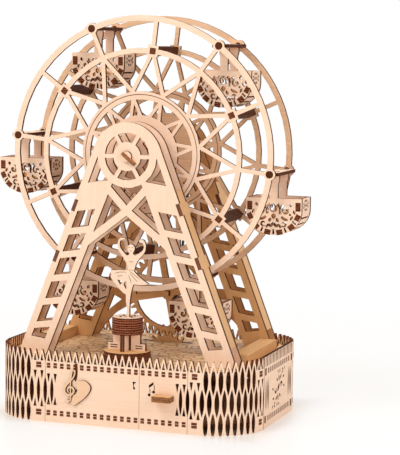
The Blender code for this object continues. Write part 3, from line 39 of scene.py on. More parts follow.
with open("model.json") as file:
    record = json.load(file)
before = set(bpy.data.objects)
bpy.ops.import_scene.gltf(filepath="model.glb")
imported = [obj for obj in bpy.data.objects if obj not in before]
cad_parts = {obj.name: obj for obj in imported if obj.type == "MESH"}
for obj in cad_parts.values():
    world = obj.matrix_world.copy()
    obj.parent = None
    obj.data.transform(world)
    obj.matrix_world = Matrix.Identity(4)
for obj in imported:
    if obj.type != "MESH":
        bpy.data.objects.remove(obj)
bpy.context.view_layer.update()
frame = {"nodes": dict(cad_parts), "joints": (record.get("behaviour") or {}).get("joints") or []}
NODES = frame["nodes"]
JOINTS = {joint["name"]: joint for joint in frame["joints"]}
AXLE_HEIGHT = JOINTS["wheel_spin"]["pos_m"][2]
MM = 0.001

# Turns that stand a flat sheet up in the XZ plane and in the YZ plane
UPRIGHT = Matrix(((1, 0, 0, 0), (0, 0, -1, 0), (0, 1, 0, 0), (0, 0, 0, 1)))
SIDEWAYS = Matrix.Rotation(pi / 2, 4, "Z") @ Matrix.Rotation(pi / 2, 4, "X")

# Share by which the area of a filled sheet may differ from that of its outline
AREA_SLACK = 0.01


# Outlines in millimetres

def polar(radius, angle):
    """Point at this radius and angle."""
    return (radius * cos(angle), radius * sin(angle))


def arc(radius, start, end, steps, centre=(0.0, 0.0)):
    """Points along an arc, both ends included."""
    points = []
    for index in range(steps + 1):
        x, y = polar(radius, start + (end - start) * index / steps)
        points.append((centre[0] + x, centre[1] + y))
    return points


def circle(radius, steps, centre=(0.0, 0.0)):
    """Closed outline of a circle."""
    return arc(radius, 0.0, 2 * pi, steps, centre)[:-1]


def rectangle(x0, x1, y0, y1):
    """Closed outline of a rectangle."""
    return [(x0, y0), (x1, y0), (x1, y1), (x0, y1)]


def turned_slab(centre, length, width, angle):
    """Rectangle round a centre, turned by an angle in degrees."""
    along = Vector(polar(length / 2, radians(angle)))
    across = Vector(polar(width / 2, radians(angle + 90)))
    middle = Vector(centre)
    corners = (along + across, across - along, -along - across, along - across)
    return [tuple(middle + corner) for corner in corners]


def mirrored(points):
    """The same outline on the other side of the middle."""
    return [(-x, y) for x, y in reversed(points)]


def lens(x, centre, length, width, steps=6, floor=-1000.0):
    """Upright slot pointed at both ends, cut off at the floor."""
    low = max(centre - length / 2, floor)
    high = centre + length / 2
    right = []
    for index in range(steps + 1):
        height = low + (high - low) * index / steps
        share = (height - centre) / (length / 2)
        right.append((width / 2 * (1 - share * share), height))
    left = [(x - half, height) for half, height in reversed(right) if half > 1e-6]
    return [(x + half, height) for half, height in right] + left


def leaf(centre, length, width, angle, steps=5):
    """Leaf pointed at both ends, lying at an angle in degrees."""
    turn = Matrix.Rotation(radians(angle - 90), 2)
    points = lens(0.0, 0.0, length, width, steps)
    return [tuple(Vector(centre) + turn @ Vector(point)) for point in points]


def curl(centre, radius, start, sweep, width, closing=0.0, steps=10):
    """Curved stroke that thins out at both ends; its radius shrinks by the closing share."""
    outer = []
    inner = []
    for index in range(steps + 1):
        share = index / steps
        angle = radians(start + sweep * share)
        reach = radius * (1 - closing * share)
        half = max(width / 2 * sin(pi * (0.12 + 0.80 * share)), 0.12)
        for points, offset in ((outer, half), (inner, -half)):
            x, y = polar(reach + offset, angle)
            points.append((centre[0] + x, centre[1] + y))
    return outer + list(reversed(inner))


def ribbon(path, widths):
    """Outline of a line of changing width along a path."""
    left = []
    right = []
    for index, point in enumerate(path):
        before = Vector(path[max(index - 1, 0)])
        after = Vector(path[min(index + 1, len(path) - 1)])
        along = (after - before).normalized()
        side = Vector((-along.y, along.x)) * widths[index] / 2
        left.append(tuple(Vector(point) + side))
        right.append(tuple(Vector(point) - side))
    return left + list(reversed(right))


def smooth(path, steps=4):
    """Denser path through the same points."""
    points = []
    ends = [path[0]] + list(path) + [path[-1]]
    for index in range(1, len(ends) - 2):
        p0, p1, p2, p3 = (Vector(ends[index + offset]) for offset in (-1, 0, 1, 2))
        for step in range(steps):
            t = step / steps
            bend = 2 * p0 - 5 * p1 + 4 * p2 - p3
            twist = 3 * p1 - p0 - 3 * p2 + p3
            points.append(tuple((2 * p1 + (p2 - p0) * t + bend * t * t + twist * t ** 3) / 2))
    return points + [tuple(path[-1])]


# Meshes

def outline_area(points):
    """Area inside a closed outline."""
    total = 0.0
    for index, (x, y) in enumerate(points):
        total += points[index - 1][0] * y - x * points[index - 1][1]
    return abs(total) / 2


def cut_sheet(outline, holes, thickness):
    """Flat sheet with holes in the XY plane, from Z = 0 up; its cut edges take the second finish."""
    work = bmesh.new()
    edges = []
    for loop in [outline] + list(holes):
        corners = [work.verts.new((x * MM, y * MM, 0.0)) for x, y in loop]
        for index, corner in enumerate(corners):
            edges.append(work.edges.new((corners[index - 1], corner)))
    bmesh.ops.triangle_fill(work, use_beauty=True, edges=edges)
    wanted = outline_area(outline) - sum(outline_area(hole) for hole in holes)
    filled = sum(face.calc_area() for face in work.faces) / MM / MM
    if abs(filled - wanted) > AREA_SLACK * wanted:
        raise RuntimeError(f"a sheet filled {filled:.1f} mm2 instead of {wanted:.1f} mm2: its openings touch")
    lifted = bmesh.ops.extrude_face_region(work, geom=work.faces[:])["geom"]
    corners = [item for item in lifted if isinstance(item, bmesh.types.BMVert)]
    bmesh.ops.translate(work, vec=(0.0, 0.0, thickness * MM), verts=corners)
    bmesh.ops.recalc_face_normals(work, faces=work.faces)
    for face in work.faces:
        face.material_index = int(abs(face.normal.z) < 0.5)
    return work


def stand(work, front_y):
    """Stands a sheet up in the XZ plane with its front face at this Y in millimetres."""
    place = Matrix.Translation((0.0, front_y * MM, 0.0)) @ UPRIGHT
    bmesh.ops.transform(work, matrix=place, verts=work.verts)
    low = min(vertex.co.y for vertex in work.verts)
    bmesh.ops.translate(work, vec=(0.0, front_y * MM - low, 0.0), verts=work.verts)
    return work


def upright_sheet(outline, holes, front_y, thickness):
    """Sheet in the XZ plane whose front face has this Y."""
    return stand(cut_sheet(outline, holes, thickness), front_y)


def add_block(work, centre, size, turn=None, finish=0):
    """Adds a block, in millimetres, to a mesh."""
    place = Matrix.Translation(Vector(centre) * MM)
    if turn is not None:
        place = place @ turn
    stretch = Matrix.Diagonal((*(Vector(size) * MM), 1.0))
    made = bmesh.ops.create_cube(work, size=1.0, matrix=place @ stretch)
    for face in {face for vertex in made["verts"] for face in vertex.link_faces}:
        face.material_index = finish
    return made["verts"]


def turned(profile, steps, centre=(0.0, 0.0)):
    """Piece turned round an upright axis from a profile of radius and height in millimetres."""
    work = bmesh.new()
    points = [work.verts.new((radius * MM, 0.0, height * MM)) for radius, height in profile]
    edges = [work.edges.new((points[index], points[index + 1])) for index in range(len(points) - 1)]
    bmesh.ops.spin(
        work, geom=points + edges, cent=(0.0, 0.0, 0.0), axis=(0.0, 0.0, 1.0), angle=2 * pi,
        steps=steps, use_merge=True,
    )
    bmesh.ops.remove_doubles(work, verts=work.verts, dist=1e-6)
    bmesh.ops.recalc_face_normals(work, faces=work.faces)
    for face in work.faces:
        face.material_index = int(abs(face.normal.z) < 0.5)
    bmesh.ops.translate(work, vec=(centre[0] * MM, centre[1] * MM, 0.0), verts=work.verts)
    return work


def join(work, other):
    """Adds one mesh to another."""
    mesh = bpy.data.meshes.new("joined")
    other.to_mesh(mesh)
    other.free()
    work.from_mesh(mesh)
    bpy.data.meshes.remove(mesh)
    return work


def add_piece(name, work, finishes, body, replaces=()):
    """Turns a mesh into a piece that rides on a body."""
    mesh = bpy.data.meshes.new(name)
    work.to_mesh(mesh)
    work.free()
    for finish in finishes:
        mesh.materials.append(finish)
    item = bpy.data.objects.new(name, mesh)
    bpy.context.scene.collection.objects.link(item)
    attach(item, body)
    if replaces:
        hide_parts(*replaces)
    return item


def copy_piece(name, source, matrix, body, replaces=()):
    """The same mesh somewhere else, with its place in its mesh."""
    mesh = source.data.copy()
    mesh.name = name
    mesh.transform(matrix)
    if matrix.determinant() < 0:
        mesh.flip_normals()
    item = bpy.data.objects.new(name, mesh)
    bpy.context.scene.collection.objects.link(item)
    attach(item, body)
    if replaces:
        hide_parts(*replaces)
    return item


# Finishes

# Scale of the grain pattern in X, Y and Z; its streaks run along the small number
ALONG_X = (26, 420, 420)
ALONG_Y = (420, 26, 420)
ALONG_Z = (420, 420, 26)

# Glue lines to a metre in a cut edge, and in one that is drawn broader
PLIES = 1000
BROAD_PLIES = 620

# Depth of the grain's relief, in metres, and the shine of bare plywood
GRAIN_RELIEF = 0.00012
WOOD_SHINE = 0.1

# Sockets that a group gives to a shader
SURFACE_OUTPUTS = (
    ("Colour", "NodeSocketColor"),
    ("Roughness", "NodeSocketFloat"),
    ("Height", "NodeSocketFloat"),
)

# Radius of the groove engraved in the rims, in millimetres
RIM_GROOVE = 52.8

# Front face of the axle's wedge, in metres, and the tilt of its plies in degrees
WEDGE_FRONT = -0.0663
WEDGE_TILT = 40


def new_group(name, inputs, outputs):
    """Shader node group with named sockets, made once."""
    tree = bpy.data.node_groups.new(name, "ShaderNodeTree")
    for label, kind, default in inputs:
        socket = tree.interface.new_socket(name=label, in_out="INPUT", socket_type=kind)
        socket.default_value = default
    for label, kind in outputs:
        tree.interface.new_socket(name=label, in_out="OUTPUT", socket_type=kind)
    return tree, tree.nodes.new("NodeGroupInput"), tree.nodes.new("NodeGroupOutput")


def object_place(tree):
    """Place of a point in the frame of its piece."""
    return tree.nodes.new("ShaderNodeTexCoord").outputs["Object"]


def math_node(tree, operation, first, second=None, third=None):
    """Math node with its inputs linked or set."""
    node = tree.nodes.new("ShaderNodeMath")
    node.operation = operation
    for index, value in enumerate((first, second, third)):
        if value is None:
            continue
        if isinstance(value, (int, float)):
            node.inputs[index].default_value = value
        else:
            tree.links.new(value, node.inputs[index])
    return node.outputs[0]


def vector_node(tree, operation, first, second=None):
    """Vector Math node with its inputs linked or set."""
    node = tree.nodes.new("ShaderNodeVectorMath")
    node.operation = operation
    for index, value in enumerate((first, second)):
        if value is None:
            continue
        if isinstance(value, (tuple, Vector)):
            node.inputs[index].default_value = value
        else:
            tree.links.new(value, node.inputs[index])
    return node.outputs["Value"] if operation in ("DOT_PRODUCT", "LENGTH") else node.outputs[0]


def mix_colours(tree, factor, first, second):
    """Mix of two colours by a factor."""
    node = tree.nodes.new("ShaderNodeMix")
    node.data_type = "RGBA"
    for socket, value in ((node.inputs[0], factor), (node.inputs[6], first), (node.inputs[7], second)):
        if isinstance(value, (int, float, tuple)):
            socket.default_value = value
        else:
            tree.links.new(value, socket)
    return node.outputs[2]


def noise(tree, vector, scale, detail, roughness, distortion=0.0):
    """Noise value read at a vector."""
    node = tree.nodes.new("ShaderNodeTexNoise")
    node.inputs["Scale"].default_value = scale
    node.inputs["Detail"].default_value = detail
    node.inputs["Roughness"].default_value = roughness
    node.inputs["Distortion"].default_value = distortion
    tree.links.new(vector, node.inputs["Vector"])
    return node.outputs[0]


def spread(tree, value, low, high):
    """Share of the way from low to high, held between 0 and 1."""
    node = tree.nodes.new("ShaderNodeMapRange")
    node.interpolation_type = "SMOOTHSTEP"
    tree.links.new(value, node.inputs["Value"])
    node.inputs["From Min"].default_value = low
    node.inputs["From Max"].default_value = high
    return node.outputs["Result"]


def grain_group():
    """Birch veneer: long streaks, short pores and a slow change of tone."""
    name = "birch_grain"
    if name in bpy.data.node_groups:
        return bpy.data.node_groups[name]
    inputs = (
        ("Pale", "NodeSocketColor", (1, 1, 1, 1)),
        ("Deep", "NodeSocketColor", (0.5, 0.4, 0.3, 1)),
        ("Stretch", "NodeSocketVector", (30, 400, 400)),
        ("Strength", "NodeSocketFloat", 0.5),
    )
    tree, given, result = new_group(name, inputs, SURFACE_OUTPUTS)
    place = object_place(tree)
    stretched = vector_node(tree, "MULTIPLY", place, given.outputs["Stretch"])
    streak = spread(tree, noise(tree, stretched, 1.0, 4.0, 0.62, 0.35), 0.34, 0.72)
    pores = spread(tree, noise(tree, stretched, 3.7, 2.0, 0.5), 0.60, 0.74)
    tone = spread(tree, noise(tree, place, 19.0, 2.0, 0.5), 0.3, 0.7)
    streak_share = math_node(tree, "MULTIPLY", streak, 0.55)
    tone_share = math_node(tree, "MULTIPLY", tone, 0.30)
    pore_share = math_node(tree, "MULTIPLY", pores, 0.28)
    total = math_node(tree, "ADD", math_node(tree, "ADD", streak_share, tone_share), pore_share)
    factor = math_node(tree, "MULTIPLY", total, given.outputs["Strength"])
    colour = mix_colours(tree, factor, given.outputs["Pale"], given.outputs["Deep"])
    tree.links.new(colour, result.inputs["Colour"])
    tree.links.new(math_node(tree, "MULTIPLY_ADD", total, 0.16, 0.50), result.inputs["Roughness"])
    height = math_node(tree, "SUBTRACT", math_node(tree, "MULTIPLY", streak, 0.5), pores)
    tree.links.new(height, result.inputs["Height"])
    return tree


def scorch_group():
    """Laser-cut edge: charred glue lines between warmer plies, with uneven soot."""
    name = "scorched_edge"
    if name in bpy.data.node_groups:
        return bpy.data.node_groups[name]
    inputs = (
        ("Char", "NodeSocketColor", (0.03, 0.01, 0.005, 1)),
        ("Warm", "NodeSocketColor", (0.2, 0.07, 0.03, 1)),
        ("Layers", "NodeSocketVector", (0, PLIES, 0)),
    )
    tree, given, result = new_group(name, inputs, SURFACE_OUTPUTS)
    place = object_place(tree)
    depth = vector_node(tree, "DOT_PRODUCT", place, given.outputs["Layers"])
    wobble = noise(tree, place, 180.0, 2.0, 0.5)
    depth = math_node(tree, "MULTIPLY_ADD", wobble, 0.35, depth)
    wave = math_node(tree, "SINE", math_node(tree, "MULTIPLY", depth, 2 * pi))
    ply = spread(tree, wave, -0.7, 0.6)
    soot = spread(tree, noise(tree, place, 420.0, 3.0, 0.6), 0.35, 0.75)
    warm_share = math_node(tree, "MULTIPLY", ply, math_node(tree, "MULTIPLY_ADD", soot, -0.6, 1.0))
    colour = mix_colours(tree, warm_share, given.outputs["Char"], given.outputs["Warm"])
    tree.links.new(colour, result.inputs["Colour"])
    tree.links.new(math_node(tree, "MULTIPLY_ADD", soot, 0.15, 0.62), result.inputs["Roughness"])
    tree.links.new(ply, result.inputs["Height"])
    return tree


def facing_group():
    """Mask that is 1 on the faces of a sheet and 0 on its cut edges."""
    name = "sheet_face_mask"
    if name in bpy.data.node_groups:
        return bpy.data.node_groups[name]
    inputs = (("Axis", "NodeSocketVector", (0, 1, 0)),)
    outputs = (("Face", "NodeSocketFloat"),)
    tree, given, result = new_group(name, inputs, outputs)
    normal = tree.nodes.new("ShaderNodeTexCoord").outputs["Normal"]
    along = math_node(tree, "ABSOLUTE", vector_node(tree, "DOT_PRODUCT", normal, given.outputs["Axis"]))
    tree.links.new(spread(tree, along, 0.55, 0.75), result.inputs["Face"])
    return tree


def place_group(tree, group, values):
    """Group node in a material with its values set."""
    node = tree.nodes.new("ShaderNodeGroup")
    node.node_tree = group
    for label, value in values.items():
        node.inputs[label].default_value = value
    return node


def new_finish(name):
    """Empty material with its shader."""
    finish = bpy.data.materials.new(name)
    finish.use_nodes = True
    return finish, finish.node_tree, finish.node_tree.nodes["Principled BSDF"]


def relief(tree, shader, height, distance, strength=0.5):
    """Bump from a height."""
    bump = tree.nodes.new("ShaderNodeBump")
    bump.inputs["Strength"].default_value = strength
    bump.inputs["Distance"].default_value = distance
    tree.links.new(height, bump.inputs["Height"])
    tree.links.new(bump.outputs["Normal"], shader.inputs["Normal"])


def paint_value(colour):
    """Colour property as a socket value."""
    return (colour[0], colour[1], colour[2], 1.0)


def grain_node(tree, face, stretch, look):
    """Grain between the pale and the deep colour of a face."""
    pale, deep = face
    values = {
        "Pale": paint_value(pale),
        "Deep": paint_value(deep),
        "Stretch": stretch,
        "Strength": look.grain,
    }
    return place_group(tree, grain_group(), values)


def edge_node(tree, warm, layers, look):
    """Scorched edge with plies of a warm colour; the layers point across them."""
    values = {"Char": paint_value(look.char), "Warm": paint_value(warm), "Layers": layers}
    return place_group(tree, scorch_group(), values)


def face_mask(tree, axis):
    """Mask of the faces of a sheet that lies across an axis."""
    return place_group(tree, facing_group(), {"Axis": axis}).outputs["Face"]


def cover(tree, shader, colour, roughness):
    """Gives a shader its colour and its roughness."""
    tree.links.new(colour, shader.inputs["Base Color"])
    tree.links.new(roughness, shader.inputs["Roughness"])


def veneer(name, face, stretch, look):
    """Finish of a plywood face."""
    finish, tree, shader = new_finish(name)
    grain = grain_node(tree, face, stretch, look)
    cover(tree, shader, grain.outputs["Colour"], grain.outputs["Roughness"])
    shader.inputs["Specular IOR Level"].default_value = WOOD_SHINE
    relief(tree, shader, grain.outputs["Height"], GRAIN_RELIEF)
    return finish


def scorched(name, layers, look, warm=None):
    """Finish of a laser-cut edge; the layers point across the plies."""
    finish, tree, shader = new_finish(name)
    edge = edge_node(tree, warm or look.warm, layers, look)
    cover(tree, shader, edge.outputs["Colour"], edge.outputs["Roughness"])
    shader.inputs["Specular IOR Level"].default_value = WOOD_SHINE
    relief(tree, shader, edge.outputs["Height"], 0.00015)
    return finish


def sheet_finish(name, face, stretch, axis, look, rings=()):
    """Finish of a whole sheet: veneer on its faces, scorched cut edges, and engraved rings round the axle."""
    finish, tree, shader = new_finish(name)
    grain = grain_node(tree, face, stretch, look)
    edge = edge_node(tree, look.warm, tuple(PLIES * part for part in axis), look)
    mask = face_mask(tree, axis)
    colour = grain.outputs["Colour"]
    height = grain.outputs["Height"]
    for radius in rings:
        from_axle = vector_node(tree, "SUBTRACT", object_place(tree), (0.0, 0.0, AXLE_HEIGHT))
        reach = vector_node(tree, "LENGTH", vector_node(tree, "MULTIPLY", from_axle, (1, 0, 1)))
        gap = math_node(tree, "ABSOLUTE", math_node(tree, "SUBTRACT", reach, radius * MM))
        line = spread(tree, gap, 0.00042, 0.00022)
        colour = mix_colours(tree, line, colour, paint_value(look.warm))
        height = math_node(tree, "SUBTRACT", height, math_node(tree, "MULTIPLY", line, 3.0))
    rough = tree.nodes.new("ShaderNodeMix")
    tree.links.new(mask, rough.inputs[0])
    tree.links.new(edge.outputs["Roughness"], rough.inputs[2])
    tree.links.new(grain.outputs["Roughness"], rough.inputs[3])
    cover(tree, shader, mix_colours(tree, mask, edge.outputs["Colour"], colour), rough.outputs[0])
    shader.inputs["Specular IOR Level"].default_value = 0.08
    relief(tree, shader, height, GRAIN_RELIEF)
    return finish


def axle_finish(name, look):
    """Finish of the axle: pale ends behind a wedge that shows the layers of its plywood."""
    finish, tree, shader = new_finish(name)
    grain = grain_node(tree, (look.pale, look.pale_deep), ALONG_Y, look)
    across = radians(90 - WEDGE_TILT)
    edge = edge_node(tree, look.ply, (1500 * cos(across), 0, 1500 * sin(across)), look)
    parts = tree.nodes.new("ShaderNodeSeparateXYZ")
    tree.links.new(object_place(tree), parts.inputs[0])
    behind = spread(tree, parts.outputs[1], WEDGE_FRONT + 0.0004, WEDGE_FRONT + 0.0006)
    mask = math_node(tree, "MULTIPLY", face_mask(tree, (0, 1, 0)), behind)
    colour = mix_colours(tree, mask, edge.outputs["Colour"], grain.outputs["Colour"])
    cover(tree, shader, colour, edge.outputs["Roughness"])
    shader.inputs["Specular IOR Level"].default_value = WOOD_SHINE
    relief(tree, shader, edge.outputs["Height"], GRAIN_RELIEF)
    return finish


def rail_finish(name, look):
    """Rails between the A-frame plates: long faces tan, the ends that show in the notches scorched."""
    finish, tree, shader = new_finish(name)
    grain = grain_node(tree, (look.tan, look.tan_deep), ALONG_Z, look)
    edge = edge_node(tree, look.tenon, (900, 0, 300), look)
    mask = face_mask(tree, (0, 1, 0))
    colour = mix_colours(tree, mask, grain.outputs["Colour"], edge.outputs["Colour"])
    cover(tree, shader, colour, grain.outputs["Roughness"])
    relief(tree, shader, grain.outputs["Height"], GRAIN_RELIEF)
    return finish


def voronoi(tree, vector, feature):
    """Cells of a Voronoi pattern read at a vector."""
    node = tree.nodes.new("ShaderNodeTexVoronoi")
    node.feature = feature
    node.inputs["Scale"].default_value = 1.0
    tree.links.new(vector, node.inputs["Vector"])
    return node


def paving_finish(look):
    """Deck engraved with irregular paving stones."""
    finish, tree, shader = new_finish("paving")
    place = object_place(tree)
    bend = tree.nodes.new("ShaderNodeTexNoise")
    bend.inputs["Scale"].default_value = 90.0
    tree.links.new(place, bend.inputs["Vector"])
    wobble = vector_node(tree, "SUBTRACT", bend.outputs["Color"], (0.5, 0.5, 0.5))
    shift = vector_node(tree, "MULTIPLY", wobble, (0.004, 0.004, 0.0))
    stones = vector_node(tree, "MULTIPLY", vector_node(tree, "ADD", place, shift), (96.0, 96.0, 0.0))
    joints = voronoi(tree, stones, "DISTANCE_TO_EDGE")
    cells = voronoi(tree, stones, "F1")
    grain = grain_node(tree, (look.paving, look.tan_deep), (40, 300, 300), look)
    tone = math_node(tree, "MULTIPLY", spread(tree, cells.outputs["Color"], 0.2, 0.8), 0.22)
    colour = mix_colours(tree, tone, grain.outputs["Colour"], paint_value(look.tan_deep))
    line = spread(tree, joints.outputs["Distance"], 0.075, 0.02)
    colour = mix_colours(tree, math_node(tree, "MULTIPLY", line, 0.85), colour, paint_value(look.engraving))
    edge = edge_node(tree, look.warm, (0, 0, PLIES), look)
    colour = mix_colours(tree, face_mask(tree, (0, 0, 1)), edge.outputs["Colour"], colour)
    cover(tree, shader, colour, grain.outputs["Roughness"])
    relief(tree, shader, math_node(tree, "MULTIPLY", line, -1.0), 0.0003)
    return finish


def brass_finish():
    """Satin brass with faint smudges."""
    finish, tree, shader = new_finish("movement_brass")
    smudge = spread(tree, noise(tree, object_place(tree), 60.0, 3.0, 0.6), 0.35, 0.7)
    colour = mix_colours(tree, smudge, (0.72, 0.56, 0.28, 1.0), (0.60, 0.44, 0.20, 1.0))
    cover(tree, shader, colour, math_node(tree, "MULTIPLY_ADD", smudge, 0.15, 0.30))
    shader.inputs["Metallic"].default_value = 1.0
    return finish


def rubber_finish():
    """Matt belt rubber with dust."""
    finish, tree, shader = new_finish("belt_rubber")
    dust = spread(tree, noise(tree, object_place(tree), 300.0, 3.0, 0.7), 0.45, 0.75)
    colour = mix_colours(tree, dust, (0.03, 0.03, 0.03, 1.0), (0.10, 0.09, 0.08, 1.0))
    cover(tree, shader, colour, math_node(tree, "MULTIPLY_ADD", dust, 0.1, 0.78))
    relief(tree, shader, dust, 0.0001)
    return finish


def finish_named(name):
    """A finish of this model, made the first time that it is asked for."""
    if name in bpy.data.materials and bpy.data.materials[name].get("ferris"):
        return bpy.data.materials[name]
    look = bpy.context.scene.ferris_look
    pale = (look.pale, look.pale_deep)
    tan = (look.tan, look.tan_deep)
    heart = (look.heart, look.pale_deep)
    rear_rim = (look.heart, look.tan_deep)
    upright = (0, 1, 0)
    lying = (0, 0, 1)
    makers = {
        "pale_face": lambda: veneer(name, pale, ALONG_X, look),
        "pale_tall_face": lambda: veneer(name, pale, ALONG_Z, look),
        "pale_face_y": lambda: veneer(name, pale, ALONG_Y, look),
        "heart_face": lambda: veneer(name, heart, ALONG_X, look),
        "tan_deep_face": lambda: veneer(name, tan, ALONG_Y, look),
        "ply_edge": lambda: scorched(name, (0, 0, PLIES), look, look.ply),
        "edge_y": lambda: scorched(name, (0, PLIES, 0), look),
        "edge_z": lambda: scorched(name, (0, 0, PLIES), look),
        "dark_edge": lambda: scorched(name, (0, 0, BROAD_PLIES), look, look.tenon),
        "layers_z": lambda: scorched(name, (0, 0, PLIES), look, look.tenon),
        "drum_layers": lambda: scorched(name, (0, 0, 500), look, look.drum),
        "tenon_end": lambda: scorched(name, (0, 0, BROAD_PLIES), look, look.tenon),
        "rim_front": lambda: sheet_finish(name, pale, ALONG_X, upright, look, (RIM_GROOVE,)),
        "rim_rear": lambda: sheet_finish(name, rear_rim, ALONG_X, upright, look, (RIM_GROOVE,)),
        "frame_front": lambda: sheet_finish(name, pale, ALONG_Z, upright, look),
        "frame_rear": lambda: sheet_finish(name, tan, ALONG_Z, upright, look),
        "gear_sheet": lambda: sheet_finish(name, tan, ALONG_X, upright, look),
        "flat_sheet": lambda: sheet_finish(name, tan, ALONG_X, lying, look),
        "pale_flat_sheet": lambda: sheet_finish(name, pale, ALONG_Y, lying, look),
        "axle_wood": lambda: axle_finish(name, look),
        "rail_strip": lambda: rail_finish(name, look),
        "paving": lambda: paving_finish(look),
        "movement_brass": brass_finish,
        "belt_rubber": rubber_finish,
    }
    finish = makers[name]()
    finish["ferris"] = True
    return finish


def dress(names, finish):
    """Gives CAD nodes a finish."""
    for name in names:
        materials = NODES[name].data.materials
        for index in range(len(materials)):
            materials[index] = finish


# Settings

def size(name, text, default):
    """Length property given in metres."""
    return FloatProperty(name=name, description=text, default=default, min=0.0, unit="LENGTH", precision=5)


def power(name, text, default):
    """Lamp power in watts."""
    return FloatProperty(name=name, description=text, default=default, min=0.0, unit="POWER")


def tint(name, text, default):
    """Colour property."""
    return FloatVectorProperty(
        name=name, description=text, default=default, min=0.0, max=1.0, size=3, subtype="COLOR"
    )


class FerrisLook(bpy.types.PropertyGroup):
    """Colours of the plywood and how strong its grain is."""

    pale: tint("Front veneer", "Veneer of the front sheets", (0.93, 0.70, 0.545))
    pale_deep: tint("Front veneer streaks", "Streaks and pores of the front sheets", (0.80, 0.53, 0.35))
    tan: tint("Rear veneer", "Veneer of the sheets behind and of the strips", (0.78, 0.46, 0.215))
    tan_deep: tint("Rear veneer streaks", "Streaks and pores of the sheets behind", (0.52, 0.27, 0.11))
    char: tint("Charred edge", "Darkest part of a laser-cut edge", (0.040, 0.011, 0.004))
    warm: tint("Scorched ply", "Plies between the charred glue lines", (0.150, 0.042, 0.015))
    tenon: tint("Tab end", "Scorched ends of tabs and tenons", (0.30, 0.085, 0.032))
    drum: tint("Drum", "Scorched layers of the drum", (0.44, 0.13, 0.06))
    heart: tint("Heart", "Face of the heart and the clef", (0.84, 0.57, 0.38))
    ply: tint("Handle edge", "Lightly scorched plies of the drawer handle", (0.60, 0.26, 0.11))
    paving: tint("Paving", "Paving stones of the deck", (1.0, 0.69, 0.385))
    engraving: tint("Engraved line", "Lines burnt into the paving", (0.30, 0.145, 0.055))
    grain: FloatProperty(
        name="Grain", description="Strength of the grain", default=0.45, min=0.0, max=1.0, subtype="FACTOR"
    )


class FerrisBase(bpy.types.PropertyGroup):
    """Sizes of the walls of the base."""

    notch_depth: size("Notch depth", "Depth of the notches between the teeth", 0.0100)
    tooth_tip: size("Tooth tip", "Width of a tooth at its tip", 0.0010)
    tab_width: size("Tab width", "Width of a floor tab in the wall", 0.0034)
    tab_height: size("Tab height", "Height of a floor tab in the wall", 0.0050)
    lens_width: size("Slot width", "Widest part of a slot of the lattice", 0.0043)
    seam_lens_width: size("Seam slot width", "Widest part of a slot beside a seam", 0.0033)
    heart_relief: size("Heart relief", "Thickness of the heart on the front", 0.0015)


class FerrisGondola(bpy.types.PropertyGroup):
    """Sizes of the scroll-cut gondolas."""

    half_length: size("Half length", "Half the length of a gondola side", 0.02525)
    top: size("Top", "Drop from the pivot to the top of a side", 0.0215)
    shoulder: size("Shoulder", "Drop from the pivot to where the round bottom starts", 0.0330)
    bottom: size("Bottom", "Drop from the pivot to the lowest point", 0.0540)
    slats: IntProperty(name="Slats", description="Slats of the round floor", default=11, min=5, max=21)


class FerrisStage(bpy.types.PropertyGroup):
    """Camera, lamps and floor."""

    lens: FloatProperty(name="Lens", description="Focal length", default=136.68, min=10.0, unit="CAMERA")
    key: power("Key lamp", "Power of the large lamp", 11.5)
    fill: power("Fill lamp", "Power of the lamp on the right", 4.5)
    sky: FloatProperty(name="Sky", description="Strength of the light from all round", default=0.66, min=0.0)
    floor: tint("Floor", "Colour of the floor", (0.90, 0.90, 0.90))


# Walls of the base, in millimetres

SHEET = 3.0
HEIGHT = 63.8
HALF_DEPTH = 85.5
HALF_LENGTH = 122.1
CORNER_RADIUS = 45.9

# Width of a tooth along the front and the rear, and on the drawer front
PITCH = 6.33
DRAWER_PITCH = 6.343

# Teeth of the front panel and of the drawer front; the rear panel has as many as both
FRONT_TEETH = 14
DRAWER_TEETH = 7
REAR_TEETH = FRONT_TEETH + DRAWER_TEETH

# Half of the play between two walls
GAP = 0.15

# Where the flat fronts end in X, where the drawer starts, and where the end walls end in Y
FRONT_SEAM = 66.5
DRAWER_SEAM = 22.1
END_SEAM = 43.7

# Angle round a corner, from the end wall, at which its lattice sheet starts
CORNER_START = asin((END_SEAM - (HALF_DEPTH - CORNER_RADIUS)) / CORNER_RADIUS)

# Heights of the two rows of tab ends; how far these stand proud, and how deep they are
TAB_ROWS = (50.4, 8.2)
TAB_PROUD = 0.12
TAB_DEPTH = 1.2

# Middle and length of the slots beside a seam
SEAM_LENS = (28.0, 24.6)


def toothed_top(x0, x1, count):
    """Top edge from right to left with pointed teeth."""
    base = bpy.context.scene.ferris_base
    pitch = (x1 - x0) / count
    tip = base.tooth_tip / MM / 2
    notch = HEIGHT - base.notch_depth / MM
    points = []
    for index in reversed(range(count)):
        middle = x0 + (index + 0.5) * pitch
        points += [(middle + tip, HEIGHT), (middle - tip, HEIGHT)]
        if index:
            points.append((middle - pitch / 2, notch))
    return points


def half_lens(x, side, width):
    """Half of a seam slot, bitten into the edge of a wall on that side, from the bottom up."""
    points = []
    centre, length = SEAM_LENS
    for index in range(9):
        share = -1 + index / 4
        points.append((x - side * width / 2 * (1 - share * share), centre + share * length / 2))
    return points


def wall_outline(x0, x1, count, left_bite, right_bite):
    """Outline of a wall; a bite is half a slot of the lattice at that edge."""
    base = bpy.context.scene.ferris_base
    notch = HEIGHT - base.notch_depth / MM
    width = base.seam_lens_width / MM
    left = x0 + GAP
    right = x1 - GAP
    points = [(left, 0.0), (right, 0.0)]
    if right_bite:
        points += half_lens(right, 1, width)
    points.append((right, notch))
    points += toothed_top(x0, x1, count)
    points.append((left, notch))
    if left_bite:
        points += list(reversed(half_lens(left, -1, width)))
    return points


